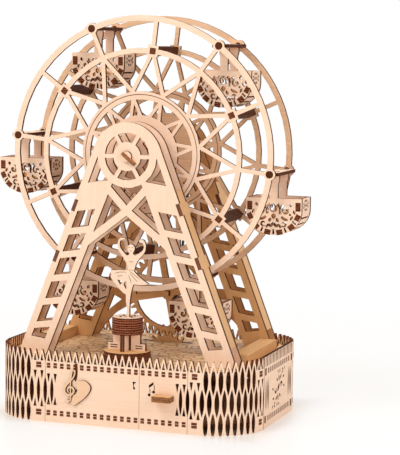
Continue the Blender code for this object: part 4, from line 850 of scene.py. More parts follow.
def tooth_hole(x):
    """Closed triangle inside a tooth."""
    return [(x - 1.35, 54.3), (x + 1.35, 54.3), (x + 0.15, 60.3), (x - 0.15, 60.3)]


def tooth_holes(x0, count, pitch=PITCH):
    """Triangles of a row of teeth."""
    return [tooth_hole(x0 + (index + 0.5) * pitch) for index in range(count)]


def seam_triangles(x, top, foot):
    """Upper and lower pointed slots of a column beside a seam."""
    upper = [(x - 1.55, top), (x + 1.55, top), (x, top - 8.2)]
    lower = [(x - 1.55, foot), (x + 1.55, foot), (x, foot + 7.8)]
    return [upper, lower]


def seam_lattice(seam, side):
    """Slots of the lattice that reach into a flat wall from a seam."""
    width = bpy.context.scene.ferris_base.seam_lens_width / MM
    holes = [lens(seam + side * PITCH, *SEAM_LENS, width)]
    for column in (0.5, 1.5):
        holes += seam_triangles(seam + side * column * PITCH, 43.2, 15.4)
    return holes


def quaver_rest():
    """Small rest sign cut through the front panel."""
    return [
        (15.7, 40.9), (16.4, 42.0), (18.8, 42.0), (18.8, 41.1), (17.4, 40.2), (17.1, 38.3),
        (18.5, 36.1), (17.8, 35.0), (16.4, 35.6), (16.6, 37.2), (16.3, 40.4),
    ]


def beamed_notes():
    """Two notes under one beam, cut through the drawer front."""
    left_head = circle(1.35, 12, (31.4, 31.6))
    right_head = circle(1.35, 12, (35.4, 34.4))
    beam = [(31.0, 37.4), (35.3, 40.8), (35.3, 43.2), (31.0, 40.0)]
    left_stem = [(31.9, 33.1), (32.6, 33.1), (32.1, 36.9), (31.5, 36.9)]
    right_stem = [(35.8, 35.9), (36.5, 35.9), (36.2, 40.5), (35.6, 40.5)]
    return [left_head, right_head, beam, left_stem, right_stem]


def flat_walls():
    """Front panel, drawer front and rear panel."""
    finishes = [finish_named("pale_face"), finish_named("dark_edge")]
    bow = [(-40.0, 31.0), (-38.0, 30.2), (-35.9, 31.2), (-35.9, 28.4), (-38.0, 29.2), (-40.0, 28.3)]
    holes = tooth_holes(-FRONT_SEAM, FRONT_TEETH) + seam_lattice(-FRONT_SEAM, 1) + [quaver_rest(), bow]
    outline = wall_outline(-FRONT_SEAM, DRAWER_SEAM, FRONT_TEETH, True, False)
    front = upright_sheet(outline, holes, -HALF_DEPTH, SHEET)
    add_piece("front_wall", front, finishes, "base", ["front_panel"])
    holes = tooth_holes(DRAWER_SEAM, DRAWER_TEETH, DRAWER_PITCH)
    holes += seam_lattice(FRONT_SEAM, -1) + beamed_notes()
    outline = wall_outline(DRAWER_SEAM, FRONT_SEAM, DRAWER_TEETH, False, True)
    drawer = upright_sheet(outline, holes, -HALF_DEPTH, SHEET)
    add_piece("drawer_wall", drawer, finishes, "drawer", ["drawer_front"])
    key_hole = circle(2.8, 24, (15.0, 27.0))
    holes = tooth_holes(-FRONT_SEAM, REAR_TEETH)
    holes += seam_lattice(-FRONT_SEAM, 1) + seam_lattice(FRONT_SEAM, -1)
    outline = wall_outline(-FRONT_SEAM, FRONT_SEAM, REAR_TEETH, True, True)
    rear = upright_sheet(outline, holes + [key_hole], HALF_DEPTH - SHEET, SHEET)
    add_piece("rear_wall", rear, finishes, "base", ["rear_panel"])


def bend_round_corner(work, flat):
    """Bends a sheet standing behind Y = 0 round the right rear corner; X is the way along its outer face."""
    centre = Vector((HALF_LENGTH - CORNER_RADIUS, HALF_DEPTH - CORNER_RADIUS)) * MM
    radius = CORNER_RADIUS * MM
    for vertex in work.verts:
        along, depth, height = vertex.co
        if along <= flat * MM:
            vertex.co = (FRONT_SEAM * MM + along, HALF_DEPTH * MM - depth, height)
        else:
            x, y = polar(radius - depth, pi / 2 - (along - flat * MM) / radius)
            vertex.co = (centre.x + x, centre.y + y, height)


def corner_walls():
    """Four lattice sheets bent round the corners, one mesh mirrored."""
    base = bpy.context.scene.ferris_base
    flat = HALF_LENGTH - CORNER_RADIUS - FRONT_SEAM
    length = flat + CORNER_RADIUS * (pi / 2 - CORNER_START)
    count = round(length / PITCH)
    pitch = length / count
    wide = base.lens_width / MM
    narrow = base.seam_lens_width / MM
    outline = wall_outline(0.0, length, count, True, True)
    holes = []
    foot = []
    for index in range(count):
        x = (index + 0.5) * pitch
        if index < 2 or index >= count - 2:
            holes.append(tooth_hole(x))
            holes += seam_triangles(x, 45.6, 13.2)
        else:
            holes.append(lens(x, 47.2, 25.0, wide, 8))
            foot += lens(x, 8.6, 22.6, wide, 8, 0.0)
        if index:
            width = narrow if index in (1, count - 1) else wide
            holes.append(lens(index * pitch, SEAM_LENS[0], SEAM_LENS[1], width, 8))
    outline = [outline[0]] + lowest_run(foot, pitch, count) + outline[1:]
    work = cut_sheet(outline, holes, SHEET)
    place = Matrix.Translation((0.0, SHEET * MM, 0.0)) @ UPRIGHT
    bmesh.ops.transform(work, matrix=place, verts=work.verts)
    for index in range(1, 4 * count):
        everything = work.verts[:] + work.edges[:] + work.faces[:]
        bmesh.ops.bisect_plane(
            work, geom=everything, dist=1e-7,
            plane_co=(index * pitch * MM / 4, 0.0, 0.0), plane_no=(1.0, 0.0, 0.0),
        )
    bmesh.ops.triangulate(work, faces=work.faces)
    bend_round_corner(work, flat)
    bmesh.ops.recalc_face_normals(work, faces=work.faces)
    finishes = [finish_named("pale_tall_face"), finish_named("dark_edge")]
    node = "corner_rear_right"
    source = add_piece("corner_lattice_rear_right", work, finishes, "base", [node])
    for corner, signs in (("rear_left", (-1, 1)), ("front_right", (1, -1)), ("front_left", (-1, -1))):
        mirror = Matrix.Diagonal((*signs, 1.0, 1.0))
        copy_piece(f"corner_lattice_{corner}", source, mirror, "base", [f"corner_{corner}"])


def lowest_run(foot, pitch, count):
    """Points of the slots that are open at the lower edge, from left to right."""
    ordered = []
    for index in range(count):
        x = (index + 0.5) * pitch
        slot = [point for point in foot if abs(point[0] - x) < pitch / 2]
        left = sorted([point for point in slot if point[0] < x - 1e-6], key=lambda point: point[1])
        right = sorted([point for point in slot if point[0] > x + 1e-6], key=lambda point: -point[1])
        top = [point for point in slot if abs(point[0] - x) <= 1e-6]
        ordered += left + top + right
    return ordered


def flourish():
    """Leaf scroll in the middle of an end panel, the same after half a turn, in millimetres."""
    leaves = (
        ((1.2, 8.4), 6.6, 3.0, 100),
        ((6.4, 8.8), 5.8, 2.6, 45),
        ((-4.6, 7.8), 5.4, 2.4, 135),
        ((3.6, 14.6), 4.6, 2.2, 75),
        ((15.2, 7.6), 4.8, 2.2, 10),
        ((17.0, -1.2), 4.4, 2.0, -30),
        ((17.4, 14.8), 3.8, 1.8, 60),
        ((-1.8, 14.8), 3.8, 1.8, 110),
    )
    curls = (((8.6, 0.6), 3.3, 200, -250, 2.1, 0.45), ((10.8, 14.0), 2.3, 230, 260, 1.6, 0.40))
    middle = Vector((0.0, 29.5))
    shapes = [leaf(middle, 9.0, 4.0, 48)]
    for sign in (1, -1):
        half_turn = 0 if sign > 0 else 180
        for centre, length, width, angle in leaves:
            shapes.append(leaf(middle + sign * Vector(centre), length, width, angle))
        for centre, radius, start, sweep, width, closing in curls:
            place = middle + sign * Vector(centre)
            shapes.append(curl(place, radius, start + half_turn, sweep, width, closing))
    return shapes


def end_panels():
    """Flat end walls with a comb along the top, long side slots and a leaf scroll."""
    half = END_SEAM - GAP
    comb = []
    count = 20
    pitch = 2 * END_SEAM / count
    foot = HEIGHT - 9.0
    for index in reversed(range(1, count)):
        x = -END_SEAM + index * pitch
        comb += [(x + 1.1, HEIGHT), (x + 0.8, foot), (x - 0.8, foot), (x - 1.1, HEIGHT)]
    outline = [(-half, 0.0), (half, 0.0), (half, HEIGHT)] + comb + [(-half, HEIGHT)]
    holes = flourish()
    for sign in (-1, 1):
        for offset in (30.6, 34.4, 38.2):
            holes.append(lens(sign * offset, 29.3, 29.0, 2.3, 8))
    work = cut_sheet(outline, holes, SHEET)
    bmesh.ops.transform(work, matrix=SIDEWAYS, verts=work.verts)
    high = max(vertex.co.x for vertex in work.verts)
    bmesh.ops.translate(work, vec=(HALF_LENGTH * MM - high, 0.0, 0.0), verts=work.verts)
    finishes = [finish_named("pale_face_y"), finish_named("dark_edge")]
    right = add_piece("end_wall_right", work, finishes, "base", ["end_panel_right"])
    mirror = Matrix.Diagonal((-1.0, 1.0, 1.0, 1.0))
    copy_piece("end_wall_left", right, mirror, "base", ["end_panel_left"])


def tab_end(work, place, measures, turn=None):
    """Tab end of two plies with a dark line between them."""
    x, y, z = place
    width, depth, height = measures
    half_line = 0.45
    for sign in (-1, 1):
        add_block(work, (x, y, z + sign * height / 4), (width, depth, height / 2 - half_line), turn)


def wall_tabs():
    """Scorched ends of the floor tabs in the walls, and those of the drawer."""
    base = bpy.context.scene.ferris_base
    tall = base.tab_height / MM
    wide = base.tab_width / MM
    beside_seam = 6.2
    seam_tall = tall + 0.5
    angle = CORNER_START + beside_seam / CORNER_RADIUS
    inward = TAB_PROUD - TAB_DEPTH / 2
    along, away = polar(CORNER_RADIUS + inward, angle)
    fixed = bmesh.new()
    drawer = bmesh.new()
    for z in TAB_ROWS:
        for side in (-1, 1):
            y = side * (HALF_DEPTH + inward)
            for index in range(REAR_TEETH):
                x = -FRONT_SEAM + (index + 0.5) * PITCH
                goes_with = drawer if side < 0 and x > DRAWER_SEAM else fixed
                tab_end(goes_with, (x, y, z), (wide, TAB_DEPTH, tall))
            for hand in (-1, 1):
                tab_end(fixed, (hand * (FRONT_SEAM + beside_seam), y, z), (5.0, TAB_DEPTH, seam_tall))
                turn = Matrix.Rotation(side * hand * angle, 4, "Z")
                corner_x = hand * (HALF_LENGTH - CORNER_RADIUS + along)
                corner_y = side * (HALF_DEPTH - CORNER_RADIUS + away)
                tab_end(fixed, (corner_x, corner_y, z), (TAB_DEPTH, 5.0, seam_tall), turn)
        for side in (-1, 1):
            x = side * (HALF_LENGTH + inward)
            for index in range(11):
                add_block(fixed, (x, (index - 5) * 6.2, z), (TAB_DEPTH, 2.6, tall - 0.4))
            for y in (-39.5, 39.5):
                add_block(fixed, (x, y, z), (TAB_DEPTH, 4.2, tall + 1.2))
    finish = [finish_named("tenon_end")]
    add_piece("floor_tab_ends", fixed, finish, "base")
    add_piece("drawer_tab_ends", drawer, finish, "drawer")


def heart_and_clef():
    """Thin relief on the front: half a heart and a treble clef as its other half, with a dark painted shadow
    behind them and a dark sheet of painted shade in the opening beside the clef's top.
    """
    thickness = bpy.context.scene.ferris_base.heart_relief / MM
    lobe = [
        (-37.4, 35.6), (-35.6, 38.1), (-32.0, 39.4), (-27.7, 39.1), (-24.0, 36.3), (-22.9, 33.0),
        (-24.7, 28.8), (-29.0, 23.7), (-34.1, 19.6), (-38.4, 16.8), (-40.9, 18.0), (-40.2, 22.5),
        (-38.4, 26.2), (-35.8, 27.6), (-35.4, 32.0), (-37.4, 35.6),
    ]
    swirl = [
        (-40.2, 47.0), (-37.9, 47.8), (-38.1, 44.1), (-40.0, 40.5), (-42.9, 37.6), (-45.8, 34.6),
        (-47.6, 31.1), (-46.9, 27.4), (-43.6, 25.6), (-40.1, 26.9), (-38.6, 29.8), (-40.0, 32.4),
        (-42.9, 32.7), (-44.7, 30.3), (-43.6, 28.3),
    ]
    swirl_widths = (0.8, 1.3, 1.2, 1.3, 1.8, 2.0, 2.0, 1.9, 1.8, 1.8, 1.7, 1.6, 1.5, 1.3, 0.7)
    stem = smooth([
        (-40.2, 47.0), (-41.0, 43.2), (-41.6, 38.4), (-41.8, 32.2), (-41.5, 25.4), (-41.7, 21.3),
        (-43.4, 19.8),
    ])
    # Outline of the opening right of the clef's top, filled with a dark sheet of painted shade
    gap = [
        (-38.4, 53.6), (-36.0, 53.6), (-35.6, 47.0), (-36.0, 41.4), (-37.4, 38.0), (-38.8, 40.6),
        (-38.2, 46.0), (-38.4, 53.6),
    ]
    widths = []
    for start, end in zip(swirl_widths, swirl_widths[1:]):
        widths += [start + (end - start) * step / 4 for step in range(4)]
    widths.append(swirl_widths[-1])
    shapes = [
        smooth(lobe, 3)[:-1],
        ribbon(smooth(swirl), widths),
        ribbon(stem, [1.1] * len(stem)),
        circle(1.5, 14, (-44.4, 20.2)),
    ]
    relief_front = -HALF_DEPTH - thickness
    work = bmesh.new()
    # Painted shadow: a dark copy of the heart and clef, shifted right and down behind them, which also makes
    # their cut edge look broader
    painted_shadow = bmesh.new()
    for index, shape in enumerate(shapes):
        join(work, upright_sheet(shape, [], relief_front + 0.12 * (index % 2), thickness))
        shadow_shape = [(x + 0.65, z - 0.15) for x, z in shape]
        join(painted_shadow, upright_sheet(shadow_shape, [], -HALF_DEPTH - 0.7 - 0.08 * (index % 2), 0.9))
    burnt = [finish_named("edge_y")] * 2
    add_piece("heart_and_clef", work, [finish_named("heart_face"), burnt[0]], "base")
    add_piece("heart_painted_shadow", painted_shadow, burnt, "base")
    # Dark sheet of painted shade in the opening right of the clef's top
    shade = upright_sheet(smooth(gap, 3)[:-1], [], -HALF_DEPTH - 0.25, 0.5)
    add_piece("clef_painted_shade", shade, burnt, "base")


def drawer_pull():
    """Bar handle of two plies on two short tabs."""
    work = bmesh.new()
    outline = [(36.9, -86.0), (37.0, -95.0), (38.0, -95.8), (52.9, -95.8), (53.9, -95.0), (54.0, -86.0)]
    for low in (27.7, 30.3):
        layer = cut_sheet(outline, [], 2.4)
        bmesh.ops.translate(layer, vec=(0.0, 0.0, low * MM), verts=layer.verts)
        join(work, layer)
    core = [(37.4, -86.0), (37.4, -95.2), (53.5, -95.2), (53.5, -86.0)]
    glue = cut_sheet(core, [], 4.6)
    bmesh.ops.translate(glue, vec=(0.0, 0.0, 27.9 * MM), verts=glue.verts)
    for face in glue.faces:
        face.material_index = 2
    join(work, glue)
    for x in (40.4, 50.4):
        add_block(work, (x, -84.8, 30.2), (3.0, 3.4, 2.8), None, 1)
    finishes = [finish_named("tan_deep_face"), finish_named("ply_edge"), finish_named("edge_z")]
    add_piece("drawer_pull", work, finishes, "drawer", ["drawer_handle"])


# Gondolas, in millimetres from their pivot

# Finishes of a basket, by their place in its list
BASKET_INSIDE, BASKET_TAB, BASKET_BOARD, BASKET_EDGE = range(4)

# Front faces of the two sides, and where the tab ends in them lie in Y
FRONT_SIDE = -15.0
REAR_SIDE = 12.0
TAB_ENDS = (-14.6, 14.6)

# How far inside the hull the middle of a slat lies
SLAT_INSET = 1.9


def hull(steps=28):
    """Open outline of the boat shape from the upper left to the upper right."""
    boat = bpy.context.scene.ferris_gondola
    half = boat.half_length / MM
    shoulder = -boat.shoulder / MM
    drop = boat.bottom / MM + shoulder
    points = [(-half, -boat.top / MM)]
    for index in range(steps + 1):
        angle = pi + pi * index / steps
        points.append((half * cos(angle), shoulder + drop * sin(angle)))
    return points + [(half, -boat.top / MM)]


def boat_point(angle, inset):
    """Point of the round bottom and the direction of its surface in degrees."""
    boat = bpy.context.scene.ferris_gondola
    half = boat.half_length / MM - inset
    drop = (boat.bottom - boat.shoulder) / MM - inset
    point = (half * cos(angle), -boat.shoulder / MM + drop * sin(angle))
    slope = degrees(atan2(drop * cos(angle), -half * sin(angle)))
    return point, slope


def side_scrolls():
    """Openings of a gondola side."""
    half_arch = [(-6.7, -47.4), (-4.8, -44.9), (-2.4, -45.9)]
    arch = smooth(half_arch + [(0.0, -43.5)] + mirrored(half_arch), 3)
    arch_last = len(arch) - 1
    arch_widths = [1.6 + 1.0 * sin(pi * index / arch_last) for index in range(arch_last + 1)]
    sweep = smooth([(7.0, -37.4), (9.2, -39.2), (13.0, -40.4)])
    sweep_last = len(sweep) - 1
    shares = [index / sweep_last for index in range(sweep_last + 1)]
    sweep_widths = [0.9 + 1.6 * sin(pi * (0.05 + 0.9 * share)) for share in shares]
    holes = [
        circle(3.9, 20, (0.0, -30.0)),
        leaf((0.0, -37.2), 5.4, 4.4, 90),
        turned_slab((0.0, -51.0), 4.4, 1.7, 90),
        ribbon(arch, arch_widths),
    ]
    right = [
        [
            (4.7, -35.2), (6.9, -35.2), (7.3, -30.9), (9.6, -28.6), (9.2, -26.0), (6.1, -28.0),
            (4.1, -25.9), (2.9, -27.2), (4.6, -30.2),
        ],
        curl((11.4, -31.9), 3.2, 100, 300, 2.5, 0.50, 14),
        circle(0.9, 10, (11.7, -31.6)),
        leaf((15.6, -27.2), 3.8, 2.6, 65),
        leaf((18.6, -33.4), 4.4, 2.4, 120),
        leaf((3.4, -40.6), 4.4, 2.7, 120),
        ribbon(sweep, sweep_widths),
        curl((9.2, -43.9), 2.5, -140, 300, 1.9, 0.50, 12),
        leaf((16.2, -38.6), 4.8, 2.3, 62),
        circle(1.1, 10, (14.9, -35.6)),
        turned_slab((18.7, -42.4), 4.2, 1.6, 135),
        turned_slab((10.7, -49.2), 4.2, 1.6, 112),
    ]
    for shape in right:
        holes += [shape, mirrored(shape)]
    return holes


def gondola_side(front_y):
    """Side of a gondola with its strap."""
    boat = bpy.context.scene.ferris_gondola
    top = -boat.top / MM
    hanger = [(3.5, top), (3.5, -9.3), (4.5, -6.3), (4.5, -1.8), (3.5, -1.8), (3.5, 1.8)]
    outline = hull() + hanger + mirrored(hanger)
    return upright_sheet(outline, side_scrolls(), front_y, SHEET)


def end_board(x):
    """Upright board at the end of a gondola with a rosette of slots."""
    middle = -28.0
    slots = [leaf((0.0, middle), 4.2, 2.6, 90)]
    for index in range(8):
        across, up = polar(1.0, radians(22.5 + 45.0 * index))
        slots.append(leaf((7.2 * across, 4.1 * up + middle), 2.9, 2.6, 90 - 40 * across * up, 3))
    for up in (-4.2, 4.2):
        slots.append(leaf((0.0, middle + up), 2.5, 2.0, 90, 3))
    for across in (-3.6, 3.6):
        slots.append(leaf((across, middle), 3.2, 2.2, 90, 3))
    work = cut_sheet(rectangle(-11.7, 11.7, -34.4, -21.5), slots, SHEET)
    for face in work.faces:
        face.material_index = BASKET_EDGE if face.material_index else BASKET_BOARD
    place = Matrix.Translation((x * MM, 0.0, 0.0)) @ SIDEWAYS
    bmesh.ops.transform(work, matrix=place, verts=work.verts)
    return work


def gondola_basket():
    """Slatted round floor, end boards, backrest and seat."""
    work = bmesh.new()
    count = bpy.context.scene.ferris_gondola.slats
    for index in range(count):
        (x, z), slope = boat_point(pi + pi * (index + 0.5) / count, SLAT_INSET)
        turn = Matrix.Rotation(-radians(slope), 4, "Y")
        corners = add_block(work, (x, 0.0, z), (4.5, 23.4, 2.9), turn, BASKET_BOARD)
        outward = turn @ Vector((0.0, 0.0, 1.0))
        for face in {face for corner in corners for face in corner.link_faces}:
            face.normal_update()
            if abs(face.normal.dot(outward)) < 0.5:
                face.material_index = BASKET_EDGE
    add_block(work, (0.0, 10.2, -38.7), (43.6, 2.9, 4.6), None, BASKET_INSIDE)
    add_block(work, (0.0, 6.9, -42.4), (39.0, 9.6, 2.8), None, BASKET_INSIDE)
    for side in (-1, 1):
        join(work, end_board(21.9 if side > 0 else -24.9))
        for x, z, slope in ((21.6, -38.0, 62), (16.0, -46.3, 40), (5.5, -51.3, 12)):
            turn = Matrix.Rotation(radians(slope * side), 4, "Y").inverted()
            for y in TAB_ENDS:
                add_block(work, (side * x, y, z), (5.6, 1.0, 4.6), turn, BASKET_TAB)
        for y in TAB_ENDS:
            add_block(work, (side * 22.0, y, -28.6), (4.6, 1.0, 7.6), None, BASKET_TAB)
    return work


def gondolas():
    """Six gondolas from one set of meshes."""
    sides = [finish_named("pale_face"), finish_named("edge_y")]
    inside = [finish_named(name) for name in ("tan_deep_face", "tenon_end", "pale_face_y", "dark_edge")]
    parts = (
        ("scroll_front", "front", gondola_side(FRONT_SIDE), sides),
        ("scroll_rear", "rear", gondola_side(REAR_SIDE), sides),
        ("slats", "basket", gondola_basket(), inside),
    )
    for part, node, work, finishes in parts:
        replaced = [f"gondola_1_{node}"]
        first = add_piece(f"gondola_1_{part}", work, finishes, "gondola_1", replaced)
        for index in range(2, 7):
            body = f"gondola_{index}"
            place = Matrix.Translation(JOINTS[f"{body}_swing"]["pos_m"])
            copy_piece(f"{body}_{part}", first, place, body, [f"{body}_{node}"])
        first.data.transform(Matrix.Translation(JOINTS["gondola_1_swing"]["pos_m"]))


# Wheel, pedestal and dancer, in millimetres

# Front face of the rearmost A-frame plate
REAR_PLATE_FRONT = 60.0

# Axis of the drum, and the height of its top
DRUM_CENTRE = (0.0, -58.0)
DRUM_TOP = 93.9

# The dancer's height, and the dancer's outline and gaps in shares of it
DANCER_HEIGHT = 70.0
DANCER_OUTLINE = (
    (0.026, 0.000), (0.031, 0.041), (0.030, 0.085), (0.035, 0.191), (0.046, 0.288), (0.064, 0.362),
    (0.082, 0.412), (0.157, 0.410), (0.234, 0.413), (0.281, 0.430), (0.208, 0.474), (0.156, 0.514),
    (0.109, 0.556), (0.089, 0.579), (0.096, 0.613), (0.111, 0.663), (0.131, 0.702), (0.171, 0.753),
    (0.213, 0.798), (0.238, 0.846), (0.243, 0.902), (0.234, 0.946), (0.211, 0.976), (0.181, 0.985),
    (0.152, 0.973), (0.157, 0.955), (0.190, 0.949), (0.210, 0.921), (0.216, 0.885), (0.206, 0.851),
    (0.183, 0.827), (0.145, 0.802), (0.107, 0.780), (0.079, 0.788), (0.073, 0.811), (0.090, 0.840),
    (0.096, 0.878), (0.077, 0.908), (0.043, 0.917), (0.012, 0.903), (-0.003, 0.873), (0.003, 0.835),
    (0.024, 0.804), (0.017, 0.781), (-0.010, 0.773), (-0.043, 0.802), (-0.078, 0.839), (-0.102, 0.876),
    (-0.108, 0.918), (-0.098, 0.954), (-0.070, 0.968), (-0.035, 0.978), (-0.035, 0.992), (-0.088, 0.993),
    (-0.119, 0.970), (-0.132, 0.931), (-0.137, 0.874), (-0.121, 0.832), (-0.093, 0.791), (-0.060, 0.748),
    (-0.030, 0.701), (-0.011, 0.667), (0.001, 0.631), (0.005, 0.594), (-0.041, 0.586), (-0.101, 0.586),
    (-0.162, 0.578), (-0.215, 0.582), (-0.230, 0.553), (-0.220, 0.523), (-0.227, 0.494), (-0.195, 0.442),
    (-0.148, 0.393), (-0.097, 0.333), (-0.056, 0.298), (-0.018, 0.280), (-0.019, 0.204), (-0.004, 0.107),
    (-0.005, 0.033), (0.000, 0.000),
)
DANCER_KNEE_GAP = (
    (-0.138, 0.463), (-0.098, 0.399), (-0.066, 0.423), (-0.076, 0.452),
)
DANCER_SHIN_GAP = (
    (-0.052, 0.405), (-0.017, 0.344), (-0.009, 0.390), (-0.009, 0.443), (-0.033, 0.445),
)


def wheel_trim():
    """Scorched ends of the cross-bars in both rims."""
    work = bmesh.new()
    for index in range(6):
        angle = radians(23.5 + 60 * index)
        x, z = polar(91.6, angle)
        turn = Matrix.Rotation(-angle, 4, "Y")
        for y in (-29.55, 29.55):
            add_block(work, (x, y, z + AXLE_HEIGHT / MM), (4.9, 1.2, 4.9), turn)
    add_piece("cross_bar_ends", work, [finish_named("tenon_end")], "wheel")


def rear_arches():
    """Curved brace on each side, from the foot of the rearmost A-frame plate up to its bearing band."""
    foot = [(-76.6, 54.6), (-69.7, 64.3), (-60.6, 74.8), (-54.7, 78.9)]
    under = smooth(foot + [(-48.2, 82.7), (-33.3, 90.6), (-20.0, 94.8), (-10.0, 96.9)], 3)
    over = [(-59.4, 96.9), (-60.9, 93.5), (-52.8, 89.7), (-63.9, 80.7), (-67.5, 77.2)]
    for hand, outline in (("left", under + over), ("right", mirrored(under + over))):
        work = upright_sheet(outline, [], REAR_PLATE_FRONT, SHEET)
        add_piece(f"rear_arch_{hand}", work, [finish_named("frame_rear")] * 2, "base")


def layered(radius, bottom, layers, groove=0.35):
    """Profile of a stack of round sheets with a fine groove between them, from the top down."""
    points = []
    for index in reversed(range(layers)):
        low = bottom + index * SHEET
        points += [(radius, low + SHEET - 0.15), (radius, low + 0.15)]
        if index:
            points += [(radius - groove, low + 0.15), (radius - groove, low - 0.15)]
    return points


def pedestal_stand():
    """Layered disc with two crossing stepped boards that carry the drum."""
    profile = [(3.3, 64.3), (20.5, 64.3)] + layered(20.7, 55.3, 3)
    profile += [(20.5, 55.3), (3.3, 55.3), (3.3, 64.3)]
    disc = turned(profile, 72, DRUM_CENTRE)
    finishes = [finish_named("flat_sheet"), finish_named("layers_z")]
    add_piece("pedestal_disc", disc, finishes, "base", ["pedestal"])
    stepped = [(4.2, 64.3), (17.4, 64.3), (17.4, 70.4), (12.6, 70.4), (12.6, 78.6), (4.2, 78.6)]
    straight = rectangle(-12.0, 12.0, 64.3, 78.6)
    slots = [rectangle(8.4, 15.2, low, low + 1.0) for low in (65.9, 68.0)]
    boards = bmesh.new()
    for outline, holes, angle in ((stepped, slots, 0.0), (stepped, slots, pi), (straight, [], pi / 2)):
        turn = Matrix.Translation((0.0, DRUM_CENTRE[1] * MM, 0.0)) @ Matrix.Rotation(angle, 4, "Z")
        for offset in (-2.1, 0.1):
            board = upright_sheet(outline, holes, offset, 2.0)
            bmesh.ops.transform(board, matrix=turn, verts=board.verts)
            join(boards, board)
    finishes = [finish_named("pale_face"), finish_named("layers_z")]
    add_piece("pedestal_boards", boards, finishes, "base")


def notched_ring(radius, count, depth, width):
    """Circle with fine notches all round."""
    points = []
    half = width / 2 / radius
    for index in range(count):
        angle = 2 * pi * index / count
        next_notch = angle + 2 * pi / count
        points += [polar(radius, angle - half), polar(radius - depth, angle), polar(radius, angle + half)]
        points += arc(radius, angle + 2 * half, next_notch - 2 * half, 2)
    return points


def drum():
    """Layered drum with its shaft and friction disc, and dowels round the toe."""
    profile = [
        (0.0, DRUM_TOP), (13.0, DRUM_TOP), (13.1, 78.9), (3.0, 78.9), (3.0, 34.5),
        (17.7, 34.5), (17.7, 31.5), (3.0, 31.5), (3.0, 10.0), (0.0, 10.0),
    ]
    work = turned(profile, 72, DRUM_CENTRE)
    for index in range(5):
        layer = cut_sheet(notched_ring(13.6, 40, 0.7, 1.0), [circle(12.0, 40)], 2.72)
        place = (0.0, DRUM_CENTRE[1] * MM, (79.0 + 3.0 * index) * MM)
        bmesh.ops.translate(layer, vec=place, verts=layer.verts)
        join(work, layer)
    finishes = [finish_named("pale_flat_sheet"), finish_named("drum_layers")]
    add_piece("layered_drum", work, finishes, "turntable", ["turntable"])
    dowels = bmesh.new()
    dowel = [(0.0, 94.6), (0.8, 94.6), (1.0, 94.4), (1.0, 93.0), (0.0, 93.0)]
    for x, y in ((-5.2, -61.5), (5.2, -61.5), (-5.2, -54.5), (5.2, -54.5)):
        join(dowels, turned(dowel, 14, (x, y)))
    add_piece("drum_dowels", dowels, [finish_named("edge_z")] * 2, "turntable")


def dancer():
    """Flat ballet figure with fine strokes cut into its skirt, bodice and face."""

    def on_drum(points):
        return [(x * DANCER_HEIGHT, DRUM_TOP + z * DANCER_HEIGHT) for x, z in points]

    outline = [(-3.0, DRUM_TOP), (-3.0, DRUM_TOP - 3.0), (3.0, DRUM_TOP - 3.0), (3.0, DRUM_TOP)]
    outline += on_drum(DANCER_OUTLINE)
    holes = [on_drum(DANCER_KNEE_GAP), on_drum(DANCER_SHIN_GAP)]
    skirt = (
        ((0.030, 0.572), (0.10, 0.528), (0.165, 0.480)),
        ((0.035, 0.548), (0.09, 0.492), (0.135, 0.448)),
        ((0.015, 0.525), (0.040, 0.470), (0.052, 0.432)),
        ((-0.015, 0.560), (-0.09, 0.560), (-0.17, 0.540)),
        ((-0.010, 0.537), (-0.07, 0.515), (-0.14, 0.505)),
    )
    bodice = (
        ((0.015, 0.588), (0.050, 0.594), (0.085, 0.590)),
        ((0.022, 0.708), (0.050, 0.694), (0.085, 0.700)),
    )
    face = (
        ((0.013, 0.872), (0.022, 0.878), (0.031, 0.872)),
        ((0.055, 0.872), (0.064, 0.878), (0.073, 0.872)),
        ((0.034, 0.836), (0.044, 0.832), (0.054, 0.836)),
    )
    for stroke in skirt + bodice + face:
        path = smooth(on_drum(stroke), 3)
        last = len(path) - 1
        widths = [0.16 + 0.34 * sin(pi * (0.1 + 0.8 * index / last)) for index in range(last + 1)]
        holes.append(ribbon(path, widths))
    work = upright_sheet(outline, holes, -59.5, SHEET)
    finishes = [finish_named("pale_face"), finish_named("edge_y")]
    add_piece("ballet_dancer", work, finishes, "turntable", ["ballerina"])


def cad_finishes():
    """Finishes of the CAD nodes that stay in sight."""
    dress(["front_rim"], finish_named("rim_front"))
    dress(["rear_rim"], finish_named("rim_rear"))
    dress(["front_frame_outer", "front_frame_inner"], finish_named("frame_front"))
    dress(["rear_frame_inner", "rear_frame_outer"], finish_named("frame_rear"))
    rails = ["front_rail_left", "front_rail_right", "rear_rail_left", "rear_rail_right"]
    dress(rails, finish_named("rail_strip"))
    dress(["drive_gear", "output_shaft", "axle_pulley"], finish_named("gear_sheet"))
    dress(["base_plate", "deck_plate", "drawer_tray"], finish_named("flat_sheet"))
    dress(["foot_beam_left", "foot_beam_right"], finish_named("tan_deep_face"))
    dress(["paving_plate"], finish_named("paving"))
    dress([f"gondola_{index}_bar" for index in range(1, 7)], finish_named("pale_flat_sheet"))
    dress(["axle"], finish_named("axle_wood"))
    dress(["music_movement", "winding_key"], finish_named("movement_brass"))
    dress(["drive_belt"], finish_named("belt_rubber"))


